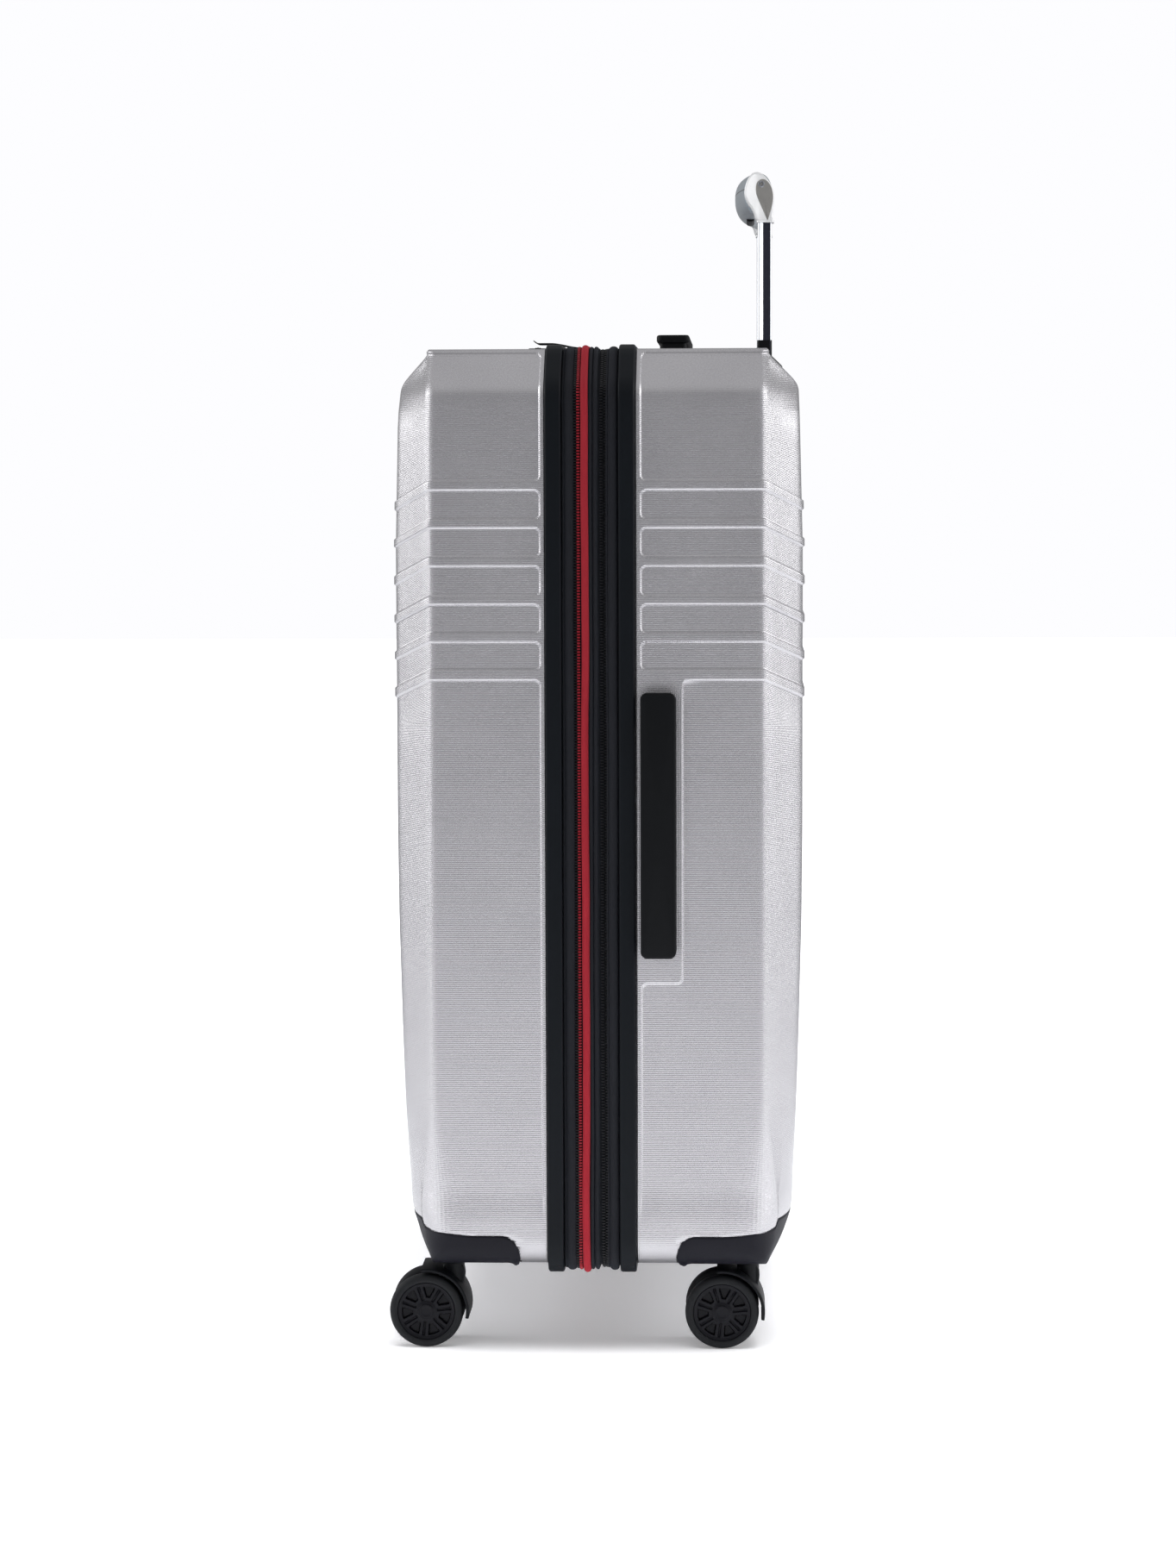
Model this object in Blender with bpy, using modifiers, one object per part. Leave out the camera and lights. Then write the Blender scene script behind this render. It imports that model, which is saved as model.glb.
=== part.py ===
"""A large hard shell suitcase on four swivelling twin-wheel casters.

Metres, +Z up, standing on the floor at z = 0. The two shells meet at a zip band: the front shell is
towards -X, the rear shell with the telescopic handle towards +X. "Near" is the -Y side with the
carry handle, "far" is the +Y side with the fabric hinge. Everything hangs from one empty, which puts
the origin under the middle of the whole object's box.
"""

import math

import bmesh
import bpy
from mathutils import Matrix, Vector

# ---- Overall sizes ----
WIDTH = 0.515  # across the shells, along Y
BODY_HEIGHT = 0.703
HALF_DEPTH = 0.158  # middle of the case to the flat of the front or rear face
WHEEL_RADIUS = 0.0285
WHEEL_CLEARANCE = 0.011  # wheel top to the underside of the shells

WALL = 0.0025  # shell thickness
GAP = 0.0003  # between touching pieces

HALF_WIDTH = WIDTH / 2
BODY_BOTTOM = 2 * WHEEL_RADIUS + WHEEL_CLEARANCE
BODY_TOP = BODY_BOTTOM + BODY_HEIGHT

# ---- Shape of a shell ----
CORNER_CHAMFER = 0.031  # along the top, between the side and the top face
CORNER_RADIUS = 0.021  # along the bottom
END_DEPTH = 0.030  # how far the chamfers round the front face run back
END_SIDE = 0.044
END_TOP = 0.027
END_BOTTOM = 0.023
TOP_DRAW_IN = 0.003  # the front face leans back by this much at its top edge
BOTTOM_DRAW_IN = 0.0125  # and by this much at its bottom edge
LOW_DRAW_IN = 0.005
LOW_BREAK = BODY_BOTTOM + 0.112
FLAT_LOW = BODY_BOTTOM + 0.262  # the flat of the front face lies between these heights
FLAT_HIGH = BODY_TOP - 0.151

# ---- Zip band, from front to rear along X ----
FRONT_FRAME = (-0.0390, -0.0265)
MAIN_ZIP_X = -0.0145
EXPANSION_ZIP_X = 0.0055
REAR_FRAME = (0.0165, 0.0290)
FRAME_PROUD = 0.0035
FRAME_WALL = 0.010
TAPE_PROUD = 0.001
TAPE_WALL = 0.003
RING_WALL = 0.0077

# ---- Carry handles: the trays behind the shell set how far in the rear lining stands ----
HANDLE_LEG = 0.022
HANDLE_LEG_INSET = 0.002  # leg's edge inside the bar's edge
HANDLE_LEG_DEPTH = 0.018  # how far the legs reach in past the shell's outside
HANDLE_SLOT_GAP = 0.0005
HANDLE_BAR = 0.0062
HANDLE_TRAY_DEPTH = HANDLE_LEG_DEPTH + 0.003
HANDLE_TRAY_WALL = 0.001
HANDLE_TRAY_MARGIN = 0.002
SIDE_HANDLE = {"length": 0.202, "width": 0.027, "proud": 0.012}
SIDE_HANDLE_PLACE = (REAR_FRAME[1] + 0.0175, -HALF_WIDTH, BODY_BOTTOM + 0.3405)
TOP_HANDLE = {"length": 0.205, "width": 0.026, "proud": 0.0145}
TOP_HANDLE_PLACE = (REAR_FRAME[1] + 0.0263, 0, BODY_TOP)

# ---- Wheel housings and casters ----
HOUSING_X = HALF_DEPTH - 0.098  # inner end
HOUSING_Y = HALF_WIDTH - 0.0875
HOUSING_BOTTOM = BODY_BOTTOM + 0.005
HOUSING_TOP = BODY_BOTTOM + 0.023
HOUSING_CURVE = 0.014
CASTER_X = HALF_DEPTH - 0.0435
CASTER_Y = HALF_WIDTH - 0.0405
TRAIL = 0.020
WHEEL_WIDTH = 0.013
WHEEL_INNER_Y = 0.0095  # caster's middle to the wheel's inner face
WHEEL_EDGE = 0.0022
WHEEL_STEPS = 24
AXLE_RADIUS = 0.0025
AXLE_SHORT = 0.0015  # axle's end to the wheel's outer face
BORE_SHORT = 0.0009
RUNNING_GAP = 0.0003
STEM_RADIUS = 0.005
STEM_LENGTH = 0.012
NECK_RADIUS = 0.0085
NECK_DEPTH = 0.0217  # how far down the neck reaches from the housing
BOSS_RADIUS = 0.006
FENDER_GAP = 0.0022
FENDER_WALL = 0.0024
FENDER_FROM, FENDER_TO = -12.0, 98.0  # degrees up from the wheel's rear
FENDER_POINTS = 12
WEB_HALF = 0.006
WEB_EDGE = 0.005  # web's edge round the axle

# ---- Telescopic handle ----
TUBE_X = HALF_DEPTH - 0.0302
TUBE_Y = 0.095
TUBE_SIZE = (0.011, 0.016)
TUBE_WALL = 0.0014
TUBE_SHOWS = 0.104  # how far it is drawn out at rest
TUBE_TOP = BODY_TOP + TUBE_SHOWS
GRIP_HEIGHT = 0.040
GRIP_RISE = 0.045  # tube's top to the grip's top
GRIP_TOP = TUBE_TOP + GRIP_RISE
GRIP_DEPTH = 0.024
GRIP_BOW = 0.007
CAP_MARGIN = 0.001  # cap past the tube, each way along Y
CAP_FOOT_MARGIN = 0.0005  # and along X
CAP_LOBE_RADIUS = 0.012
CAP_LOBE_DROP = 0.014  # grip's top to the middle of the cap's round end
CAP_LOBE_X = TUBE_X - 0.0056
CAP_POINTS = 14
SCREW_RADIUS = 0.0023
SCREW_PROUD = 0.0012
SCREW_DROP = 0.011
BUTTON_SIZE = (0.011, 0.060, 0.010)
BUTTON_PROUD = 0.004
TRAY_X = (TUBE_X - 0.0296, TUBE_X + 0.0109)
TRAY_Y = TUBE_Y + TUBE_SIZE[1] / 2 + 0.025
TRAY_WALL = 0.0025
TRAY_FLOOR = BODY_TOP - GRIP_RISE - 0.004
TRAY_HOLE_GAP = 0.0006
STOW_TRAVEL = TUBE_TOP - TRAY_FLOOR - 0.003
OUTER_TUBE_GAP = 0.0008
OUTER_TUBE_WALL = 0.0012
BASE_BOTTOM = HOUSING_TOP
BASE_TOP = BASE_BOTTOM + 0.012
BASE_MARGIN = 0.006

# ---- Linings and the fabric inside ----
LINING_WALL = 0.0008
LINING_SIDE = WALL + 0.002  # shell's outside to the lining, at the sides and in front
LINING_TRAY_GAP = 0.0025
LINING_NEAR_REAR = HANDLE_TRAY_DEPTH + HANDLE_TRAY_WALL + LINING_TRAY_GAP
LINING_TOP = HANDLE_TRAY_DEPTH + LINING_TRAY_GAP
LINING_FLOOR = HOUSING_TOP - BODY_BOTTOM + 0.002
REAR_LINING_BACK = TUBE_X - TUBE_SIZE[0] / 2 - OUTER_TUBE_GAP - OUTER_TUBE_WALL - 0.0041
GUSSET_CLEAR = 0.0015
GUSSET_END = REAR_FRAME[1] + 0.013
HINGE_STRIP_THICK = 0.0008
HINGE_STRIP_SHORT = 0.066  # strip's end to the case's top or bottom
STRAP_WIDTH = 0.038
STRAP_THICK = 0.002
STRAP_HEIGHTS = {"upper": BODY_BOTTOM + 0.452, "lower": BODY_BOTTOM + 0.232}

# ---- Lock and zip sliders ----
LOCK_X = (FRONT_FRAME[0] - 0.027, FRONT_FRAME[0] - 0.007)
LOCK_HALF_LENGTH = 0.036
LOCK_PROUD = 0.005
LOCK_DEPTH = 0.014
DIAL_RADIUS = 0.0065
DIAL_WIDTH = 0.005
DIAL_PITCH = 0.0095
DIAL_FIRST_Y = -0.022
DIAL_PROUD = 0.001
DIAL_SIDES = 20
LOCK_BUTTON_Y = 0.018
LOCK_BUTTON_SIZE = 0.009
SLIDER_SIZE = (0.010, 0.012, 0.0029)
SLIDER_Y = 0.012
EXPANSION_SLIDER_Y = -0.060
PULL_THICK = 0.002
PULL_WIDTH = 0.008
PULL_TAIL = PULL_THICK / 2

# ---- Worked out ----
FRONT_REACH = CASTER_X + TRAIL + WHEEL_RADIUS
NEAR_REACH = HALF_WIDTH + SIDE_HANDLE["proud"]
FAR_REACH = HALF_WIDTH + FRAME_PROUD
ORIGIN = Vector(((FRONT_REACH - HALF_DEPTH) / 2, (NEAR_REACH - FAR_REACH) / 2, 0))
CHAMFER_GROWTH = 2 - math.sqrt(2)  # a 45 degree chamfer's leg per metre that its outline grows
GRIP_BOTTOM = GRIP_TOP - GRIP_HEIGHT
CAP_INNER_Y = TUBE_Y - TUBE_SIZE[1] / 2 - CAP_MARGIN
CAP_OUTER_Y = TUBE_Y + TUBE_SIZE[1] / 2 + CAP_MARGIN
SIDES = {"near": -1, "far": 1}
ENDS = {"front": -1, "rear": 1}


# ---- Scene, collections and materials ----
def clear_scene():
    for obj in list(bpy.data.objects):
        bpy.data.objects.remove(obj, do_unlink=True)


def new_collection(name):
    collection = bpy.data.collections.new(name)
    bpy.context.scene.collection.children.link(collection)
    return collection


def linear(value):
    return value / 12.92 if value <= 0.04045 else ((value + 0.055) / 1.055) ** 2.4


def new_material(name, colour, roughness, metallic=0.0):
    channels = [linear(int(colour[i : i + 2], 16) / 255) for i in (1, 3, 5)]
    material = bpy.data.materials.new(name)
    material.use_nodes = True
    shader = material.node_tree.nodes["Principled BSDF"]
    shader.inputs["Base Color"].default_value = (*channels, 1)
    shader.inputs["Roughness"].default_value = roughness
    shader.inputs["Metallic"].default_value = metallic
    return material


clear_scene()
CASE = new_collection("suitcase")
CUTTERS = new_collection("cutters")
ROOT = bpy.data.objects.new("origin_under_the_middle", None)
ROOT.location = ORIGIN
CASE.objects.link(ROOT)

SHELL = new_material("silver_polycarbonate", "#a7a6ab", 0.45)
RIM = new_material("navy_plastic", "#1b2028", 0.5)
FABRIC = new_material("navy_fabric", "#1c1d23", 0.9)
RED = new_material("red_zip_tape", "#c52836", 0.8)
LINING = new_material("grey_lining", "#6a6c74", 0.9)
BLACK = new_material("black_plastic", "#15181d", 0.55)
TYRE = new_material("black_tyre", "#252729", 0.7)
ALUMINIUM = new_material("aluminium_tube", "#c3c6cc", 0.3, 1.0)
GRIP = new_material("silver_grip", "#b9bfc6", 0.35, 0.6)
STEEL = new_material("steel", "#8d9096", 0.3, 1.0)


# ---- Making objects ----
def add(name, mesh, material, location=(0, 0, 0), parent=None):
    """Puts a mesh into the suitcase as one of its pieces."""
    obj = bpy.data.objects.new(name, mesh)
    obj.location = location
    obj.parent = parent or ROOT
    if not mesh.materials:
        mesh.materials.append(material)
    CASE.objects.link(obj)
    return obj


def add_axis(name, location, parent=None):
    """An empty on a joint's axis."""
    empty = bpy.data.objects.new(name, None)
    empty.location = location
    empty.parent = parent or ROOT
    CASE.objects.link(empty)
    return empty


def add_cutter(name, mesh, location=(0, 0, 0)):
    cutter = bpy.data.objects.new(name, mesh)
    cutter.location = location
    cutter.parent = ROOT
    cutter.hide_render = True
    cutter.display_type = "WIRE"
    CUTTERS.objects.link(cutter)
    return cutter


def combine(obj, other, operation="DIFFERENCE"):
    boolean = obj.modifiers.new(other.name, "BOOLEAN")
    boolean.operation = operation
    boolean.object = other


def mesh_of(name, bm):
    mesh = bpy.data.meshes.new(name)
    bm.to_mesh(mesh)
    bm.free()
    return mesh


def baked(obj):
    """The evaluated mesh of an object, which is then removed."""
    bpy.context.view_layer.update()
    graph = bpy.context.evaluated_depsgraph_get()
    mesh = bpy.data.meshes.new_from_object(obj.evaluated_get(graph))
    bpy.data.objects.remove(obj, do_unlink=True)
    return mesh


def box(low, high, bevel=0.0, segments=2):
    """A box between two corners, with all its edges rounded when bevel is given."""
    bm = bmesh.new()
    bmesh.ops.create_cube(bm, size=1)
    low, high = Vector(low), Vector(high)
    bmesh.ops.scale(bm, vec=high - low, verts=bm.verts)
    bmesh.ops.translate(bm, vec=(low + high) / 2, verts=bm.verts)
    if bevel:
        bmesh.ops.bevel(bm, geom=bm.edges[:], offset=bevel, segments=segments, profile=0.5, affect="EDGES")
    return mesh_of("box", bm)


def rod(radius, length, segments=16, axis="Z"):
    """A cylinder about its own middle, along Z or Y."""
    bm = bmesh.new()
    bmesh.ops.create_cone(
        bm, cap_ends=True, segments=segments, radius1=radius, radius2=radius, depth=length
    )
    if axis == "Y":
        bmesh.ops.rotate(bm, matrix=Matrix.Rotation(math.pi / 2, 3, "X"), verts=bm.verts)
    mesh = mesh_of("rod", bm)
    mesh.shade_smooth()
    mesh.set_sharp_from_angle(angle=math.radians(40))
    return mesh


def plate(points, half_thickness):
    """A flat outline in the XZ plane, given a thickness along Y."""
    curve = bpy.data.curves.new("outline", "CURVE")
    curve.dimensions = "2D"
    curve.fill_mode = "BOTH"
    curve.extrude = half_thickness
    spline = curve.splines.new("POLY")
    spline.points.add(len(points) - 1)
    for point, (x, z) in zip(spline.points, points):
        point.co = (x, z, 0, 1)
    spline.use_cyclic_u = True
    outline = bpy.data.objects.new("outline", curve)
    CUTTERS.objects.link(outline)
    mesh = baked(outline)
    bm = bmesh.new()
    bm.from_mesh(mesh)
    bmesh.ops.remove_doubles(bm, verts=bm.verts, dist=1e-6)
    bmesh.ops.rotate(bm, matrix=Matrix.Rotation(math.pi / 2, 3, "X"), verts=bm.verts)
    bm.to_mesh(mesh)
    bm.free()
    return mesh


def arc(centre, radius, start, end, count):
    """Points on an arc, angles in degrees from +X towards +Z."""
    angles = [math.radians(start + (end - start) * i / (count - 1)) for i in range(count)]
    return [(centre[0] + radius * math.cos(a), centre[1] + radius * math.sin(a)) for a in angles]


# ---- Forms that follow the outline of the case ----
def prism(x_range, y_range, z_range, chamfer, radius):
    """A block along X whose two upper long edges are chamfered and two lower ones rounded."""
    bm = bmesh.new()
    bmesh.ops.create_cube(bm, size=1)
    low = Vector((x_range[0], y_range[0], z_range[0]))
    high = Vector((x_range[1], y_range[1], z_range[1]))
    bmesh.ops.scale(bm, vec=high - low, verts=bm.verts)
    bmesh.ops.translate(bm, vec=(low + high) / 2, verts=bm.verts)
    middle = (low.z + high.z) / 2

    def long_edges(is_upper):
        return [
            e
            for e in bm.edges
            if abs(e.verts[0].co.x - e.verts[1].co.x) > 1e-6 and (e.verts[0].co.z > middle) == is_upper
        ]

    bmesh.ops.bevel(bm, geom=long_edges(True), offset=chamfer, segments=1, affect="EDGES")
    bmesh.ops.bevel(bm, geom=long_edges(False), offset=radius, segments=4, profile=0.5, affect="EDGES")
    return bm


def band(name, x_range, grow, wall, material):
    """A ring round the case: its outside stands this far proud of the shells' outside."""
    bm = prism(
        x_range,
        (-HALF_WIDTH - grow, HALF_WIDTH + grow),
        (BODY_BOTTOM - grow, BODY_TOP + grow),
        CORNER_CHAMFER + grow * CHAMFER_GROWTH,
        CORNER_RADIUS + grow,
    )
    return ring_of(name, bm, wall, material)


def ring_of(name, bm, wall, material):
    """Opens a prism at both ends and thickens what is left inwards."""
    ends = [f for f in bm.faces if abs(f.normal.x) > 0.99]
    bmesh.ops.delete(bm, geom=ends, context="FACES_ONLY")
    ring = add(name, mesh_of(name, bm), material)
    thicken(ring, wall)
    return ring


def thicken(obj, wall):
    solidify = obj.modifiers.new("wall", "SOLIDIFY")
    solidify.thickness = wall
    solidify.offset = -1
    solidify.use_even_offset = True


def draw_in(z, height_low, height_high):
    """How far the front face stands back from its flat at a height: straight runs between five heights."""
    heights = (height_low, LOW_BREAK, FLAT_LOW, FLAT_HIGH, height_high)
    depths = (BOTTOM_DRAW_IN, LOW_DRAW_IN, 0, 0, TOP_DRAW_IN)
    for i in range(4):
        if z <= heights[i + 1] + 1e-6:
            share = (z - heights[i]) / (heights[i + 1] - heights[i])
            return depths[i] + share * (depths[i + 1] - depths[i])
    return depths[-1]


def half_form(mouth, inset_sides=(0, 0), inset_top=0, inset_bottom=0, inset_front=0):
    """The closed outer form of a half, at +X: a prism with a chamfered end and a slightly bowed face."""
    y_range = (-HALF_WIDTH + inset_sides[0], HALF_WIDTH - inset_sides[1])
    z_range = (BODY_BOTTOM + inset_bottom, BODY_TOP - inset_top)
    start = HALF_DEPTH - END_DEPTH - inset_front
    bm = prism((mouth, start), y_range, z_range, CORNER_CHAMFER, CORNER_RADIUS)
    end = [f for f in bm.faces if f.normal.x > 0.99]
    made = bmesh.ops.extrude_face_region(bm, geom=end)
    bmesh.ops.delete(bm, geom=end, context="FACES_ONLY")
    face = [v for v in made["geom"] if isinstance(v, bmesh.types.BMVert)]
    width = y_range[1] - y_range[0]
    height = z_range[1] - z_range[0]
    face_low, face_high = z_range[0] + END_BOTTOM, z_range[1] - END_TOP
    middle = sum(y_range) / 2
    for v in face:
        v.co.x = HALF_DEPTH - inset_front
        v.co.y = middle + (v.co.y - middle) * (width - 2 * END_SIDE) / width
        v.co.z = face_low + (v.co.z - z_range[0]) * (face_high - face_low) / height
    for level in (LOW_BREAK, FLAT_LOW, FLAT_HIGH):
        bmesh.ops.bisect_plane(
            bm, geom=bm.verts[:] + bm.edges[:] + bm.faces[:], plane_co=(0, 0, level), plane_no=(0, 0, 1)
        )
    for v in bm.verts:
        if v.co.x > start + 1e-6:
            share = (v.co.x - start) / END_DEPTH
            v.co.x -= share * draw_in(v.co.z, face_low, face_high)
    bmesh.ops.recalc_face_normals(bm, faces=bm.faces)
    return bm


def turned_to(end, bm):
    """Mirrors a form that was made at +X when it belongs to the front half."""
    if end < 0:
        bmesh.ops.scale(bm, vec=(-1, 1, 1), verts=bm.verts)
        bmesh.ops.reverse_faces(bm, faces=bm.faces)
    return bm


def opened_at_mouth(bm, end):
    mouth = [f for f in bm.faces if f.normal.x * end < -0.99]
    bmesh.ops.delete(bm, geom=mouth, context="FACES_ONLY")
    return bm


def add_shell(name, end):
    frame = FRONT_FRAME if end < 0 else REAR_FRAME
    mouth = max(abs(frame[0]), abs(frame[1])) + GAP
    bm = opened_at_mouth(turned_to(end, half_form(mouth)), end)
    shell = add(name, mesh_of(name, bm), SHELL)
    thicken(shell, WALL)
    return shell


# ---- Wheel housings ----
def corner_block(end, side, gap):
    """The block that a housing fills at a bottom corner, its inner upper edge rounded."""
    top = HOUSING_TOP - gap
    floor = HOUSING_BOTTOM if gap else BODY_BOTTOM - HOUSING_CURVE
    low = Vector((HOUSING_X + gap, HOUSING_Y + gap, floor))
    high = Vector((HALF_DEPTH * 1.2, HALF_WIDTH * 1.2, top))
    bm = bmesh.new()
    bmesh.ops.create_cube(bm, size=1)
    bmesh.ops.scale(bm, vec=high - low, verts=bm.verts)
    bmesh.ops.translate(bm, vec=(low + high) / 2, verts=bm.verts)
    curved = [
        e
        for e in bm.edges
        if all(abs(v.co.x - low.x) < 1e-6 and abs(v.co.z - top) < 1e-6 for v in e.verts)
    ]
    bmesh.ops.bevel(bm, geom=curved, offset=HOUSING_CURVE - gap, segments=4, profile=0.5, affect="EDGES")
    bmesh.ops.scale(bm, vec=(end, side, 1), verts=bm.verts)
    if end * side < 0:
        bmesh.ops.reverse_faces(bm, faces=bm.faces)
    return mesh_of("corner_block", bm)


def add_housings(shell, end_name, form):
    """Cuts a shell's two bottom corners away and fills each with a housing bored for its caster's stem."""
    end = ENDS[end_name]
    for side_name, side in SIDES.items():
        combine(shell, add_cutter(f"corner_{end_name}_{side_name}", corner_block(end, side, 0)))
        housing = add(f"housing_{end_name}_{side_name}", corner_block(end, side, GAP), RIM)
        combine(housing, form, "INTERSECT")
        bore = rod(STEM_RADIUS + RUNNING_GAP, 2 * (STEM_LENGTH + 2 * RUNNING_GAP))
        place = (end * CASTER_X, side * CASTER_Y, HOUSING_BOTTOM)
        combine(housing, add_cutter(f"stem_bore_{end_name}_{side_name}", bore, place))


# ---- Casters ----
def fork_mesh():
    """One fork about its swivel axis, trailing towards -X: stem, neck, web, boss and fender."""
    wheel = (-TRAIL, WHEEL_RADIUS)
    fender_inner = WHEEL_RADIUS + FENDER_GAP
    fender_outer = fender_inner + FENDER_WALL
    outline = arc(wheel, fender_outer, FENDER_FROM, FENDER_TO, FENDER_POINTS)
    outline += reversed(arc(wheel, fender_inner, FENDER_FROM, FENDER_TO, FENDER_POINTS))
    half_width = WHEEL_INNER_Y + WHEEL_WIDTH
    fork = add("fork", plate(outline, half_width), BLACK)
    neck_top = HOUSING_BOTTOM - GAP
    neck_bottom = neck_top - NECK_DEPTH
    web = [
        (-TRAIL - WEB_EDGE, WHEEL_RADIUS - WEB_EDGE),
        (0, WHEEL_RADIUS - AXLE_RADIUS),
        (NECK_RADIUS, neck_bottom),
        (NECK_RADIUS, neck_bottom + NECK_RADIUS),
        (-NECK_RADIUS, neck_bottom + NECK_RADIUS),
        (-TRAIL - WEB_EDGE, WHEEL_RADIUS + WEB_EDGE),
    ]
    parts = [
        add_cutter("neck", rod(NECK_RADIUS, neck_top - neck_bottom), (0, 0, (neck_top + neck_bottom) / 2)),
        add_cutter("web", plate(web, WEB_HALF)),
        add_cutter(
            "boss",
            rod(BOSS_RADIUS, 2 * (WHEEL_INNER_Y - RUNNING_GAP), axis="Y"),
            (wheel[0], 0, wheel[1]),
        ),
        add_cutter("stem", rod(STEM_RADIUS, 2 * STEM_LENGTH), (0, 0, neck_top)),
    ]
    for part in parts:
        combine(fork, part, "UNION")
    bore = rod(AXLE_RADIUS + RUNNING_GAP, 4 * WHEEL_INNER_Y, axis="Y")
    combine(fork, add_cutter("axle_bore", bore, (wheel[0], 0, wheel[1])))
    return baked(fork)


def wheel_mesh():
    """One wheel turned about Z with its outer face up: a blind bore for the axle, a rounded tread."""
    half = WHEEL_WIDTH / 2
    bore = AXLE_RADIUS + RUNNING_GAP
    bore_end = half - BORE_SHORT
    profile = [
        (0, half),
        (WHEEL_RADIUS - WHEEL_EDGE, half),
        (WHEEL_RADIUS, half - WHEEL_EDGE),
        (WHEEL_RADIUS, WHEEL_EDGE - half),
        (WHEEL_RADIUS - WHEEL_EDGE, -half),
        (bore, -half),
        (bore, bore_end),
        (0, bore_end),
    ]
    bm = bmesh.new()
    verts = [bm.verts.new((r, 0, z)) for r, z in profile]
    for a, b in zip(verts, verts[1:]):
        bm.edges.new((a, b))
    wheel = add("wheel", mesh_of("wheel", bm), TYRE)
    screw = wheel.modifiers.new("turn", "SCREW")
    screw.steps = screw.render_steps = WHEEL_STEPS
    screw.use_merge_vertices = True
    screw.merge_threshold = 0.00001
    screw.use_smooth_shade = False
    return baked(wheel)


def add_casters():
    fork, wheel = fork_mesh(), wheel_mesh()
    axle_half = WHEEL_INNER_Y + WHEEL_WIDTH - AXLE_SHORT
    axle = rod(AXLE_RADIUS, 2 * axle_half, axis="Y")
    wheel_y = WHEEL_INNER_Y + WHEEL_WIDTH / 2
    for end_name, end in ENDS.items():
        for side_name, side in SIDES.items():
            corner = f"{end_name}_{side_name}"
            swivel = add_axis(f"swivel_{corner}", (end * CASTER_X, side * CASTER_Y, 0))
            add(f"fork_{corner}", fork, BLACK, parent=swivel)
            add(f"axle_{corner}", axle, STEEL, (-TRAIL, 0, WHEEL_RADIUS), swivel)
            for place, toward in (("outer", side), ("inner", -side)):
                disc = add(
                    f"wheel_{corner}_{place}", wheel, TYRE, (-TRAIL, toward * wheel_y, WHEEL_RADIUS), swivel
                )
                disc.rotation_euler = (-toward * math.pi / 2, 0, 0)


# ---- Carry handles ----
def add_handle(name, sizes, location, turn, shell):
    """A pull-out handle: a bar on two legs that slide in a tray behind the shell, lying along local X."""
    axis = add_axis(f"{name}_slide", location)
    axis.rotation_euler = turn.to_euler()
    half, wide, proud = sizes["length"] / 2, sizes["width"] / 2, sizes["proud"]
    grip = add(
        f"{name}_grip",
        box((-half, -wide, proud - HANDLE_BAR), (half, wide, proud), HANDLE_BAR * 0.3),
        BLACK,
        parent=axis,
    )
    leg_wide = wide - HANDLE_LEG_INSET
    for i, sign in enumerate((-1, 1)):
        ends = sorted((sign * (half - HANDLE_LEG_INSET), sign * (half - HANDLE_LEG)))
        leg = box((ends[0], -leg_wide, -HANDLE_LEG_DEPTH), (ends[1], leg_wide, proud - HANDLE_BAR / 2))
        leg_part = add_cutter(f"{name}_leg_{i}", leg)
        leg_part.parent = axis
        combine(grip, leg_part, "UNION")
        gap = HANDLE_SLOT_GAP
        slot = box(
            (ends[0] - gap, -leg_wide - gap, -WALL * 3), (ends[1] + gap, leg_wide + gap, WALL * 3)
        )
        slot_cutter = add_cutter(f"{name}_slot_{i}", slot)
        slot_cutter.parent = axis
        combine(shell, slot_cutter)
    margin = HANDLE_TRAY_MARGIN
    bm = bmesh.new()
    bm.from_mesh(
        box((-half, -wide - margin, -HANDLE_TRAY_DEPTH), (half, wide + margin, -WALL - GAP))
    )
    lid = [f for f in bm.faces if f.normal.z > 0.99]
    bmesh.ops.delete(bm, geom=lid, context="FACES_ONLY")
    tray = add(f"{name}_tray", mesh_of("tray", bm), BLACK, parent=axis)
    thicken(tray, HANDLE_TRAY_WALL)


# ---- Telescopic handle ----
def square_tube(name, size, wall, z_range, side):
    """A rectangular tube along Z, open at both ends."""
    half_x, half_y = size[0] / 2, size[1] / 2
    bm = bmesh.new()
    bm.from_mesh(box((-half_x, -half_y, z_range[0]), (half_x, half_y, z_range[1])))
    bmesh.ops.delete(bm, geom=[f for f in bm.faces if abs(f.normal.z) > 0.99], context="FACES_ONLY")
    tube = add(name, mesh_of(name, bm), ALUMINIUM, (TUBE_X, side * TUBE_Y, 0))
    thicken(tube, wall)
    return tube


def add_trolley_tray(form, shell, lining):
    """The cup that the grip sinks into: its rim follows the outside of the shell."""
    low = (TRAY_X[0], -TRAY_Y, TRAY_FLOOR)
    high = (TRAY_X[1], TRAY_Y, BODY_TOP + TRAY_WALL)
    tray = add("trolley_tray", box(low, high), BLACK)
    combine(tray, form, "INTERSECT")
    inner_low = [value + TRAY_WALL for value in low]
    inner_high = (TRAY_X[1] - TRAY_WALL, TRAY_Y - TRAY_WALL, BODY_TOP * 1.1)
    combine(tray, add_cutter("tray_hollow", box(inner_low, inner_high)))
    for side_name, side in SIDES.items():
        half_x = TUBE_SIZE[0] / 2 + TRAY_HOLE_GAP
        half_y = TUBE_SIZE[1] / 2 + TRAY_HOLE_GAP
        hole = box((-half_x, -half_y, -TRAY_WALL), (half_x, half_y, 2 * TRAY_WALL))
        combine(tray, add_cutter(f"tube_hole_{side_name}", hole, (TUBE_X, side * TUBE_Y, TRAY_FLOOR)))
    gap = Vector((GAP, GAP, GAP))
    opening = box(Vector(low) - gap, (high[0] + GAP, high[1] + GAP, BODY_TOP * 1.1))
    cutter = add_cutter("tray_opening", opening)
    combine(shell, cutter)
    combine(lining, cutter)


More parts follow.
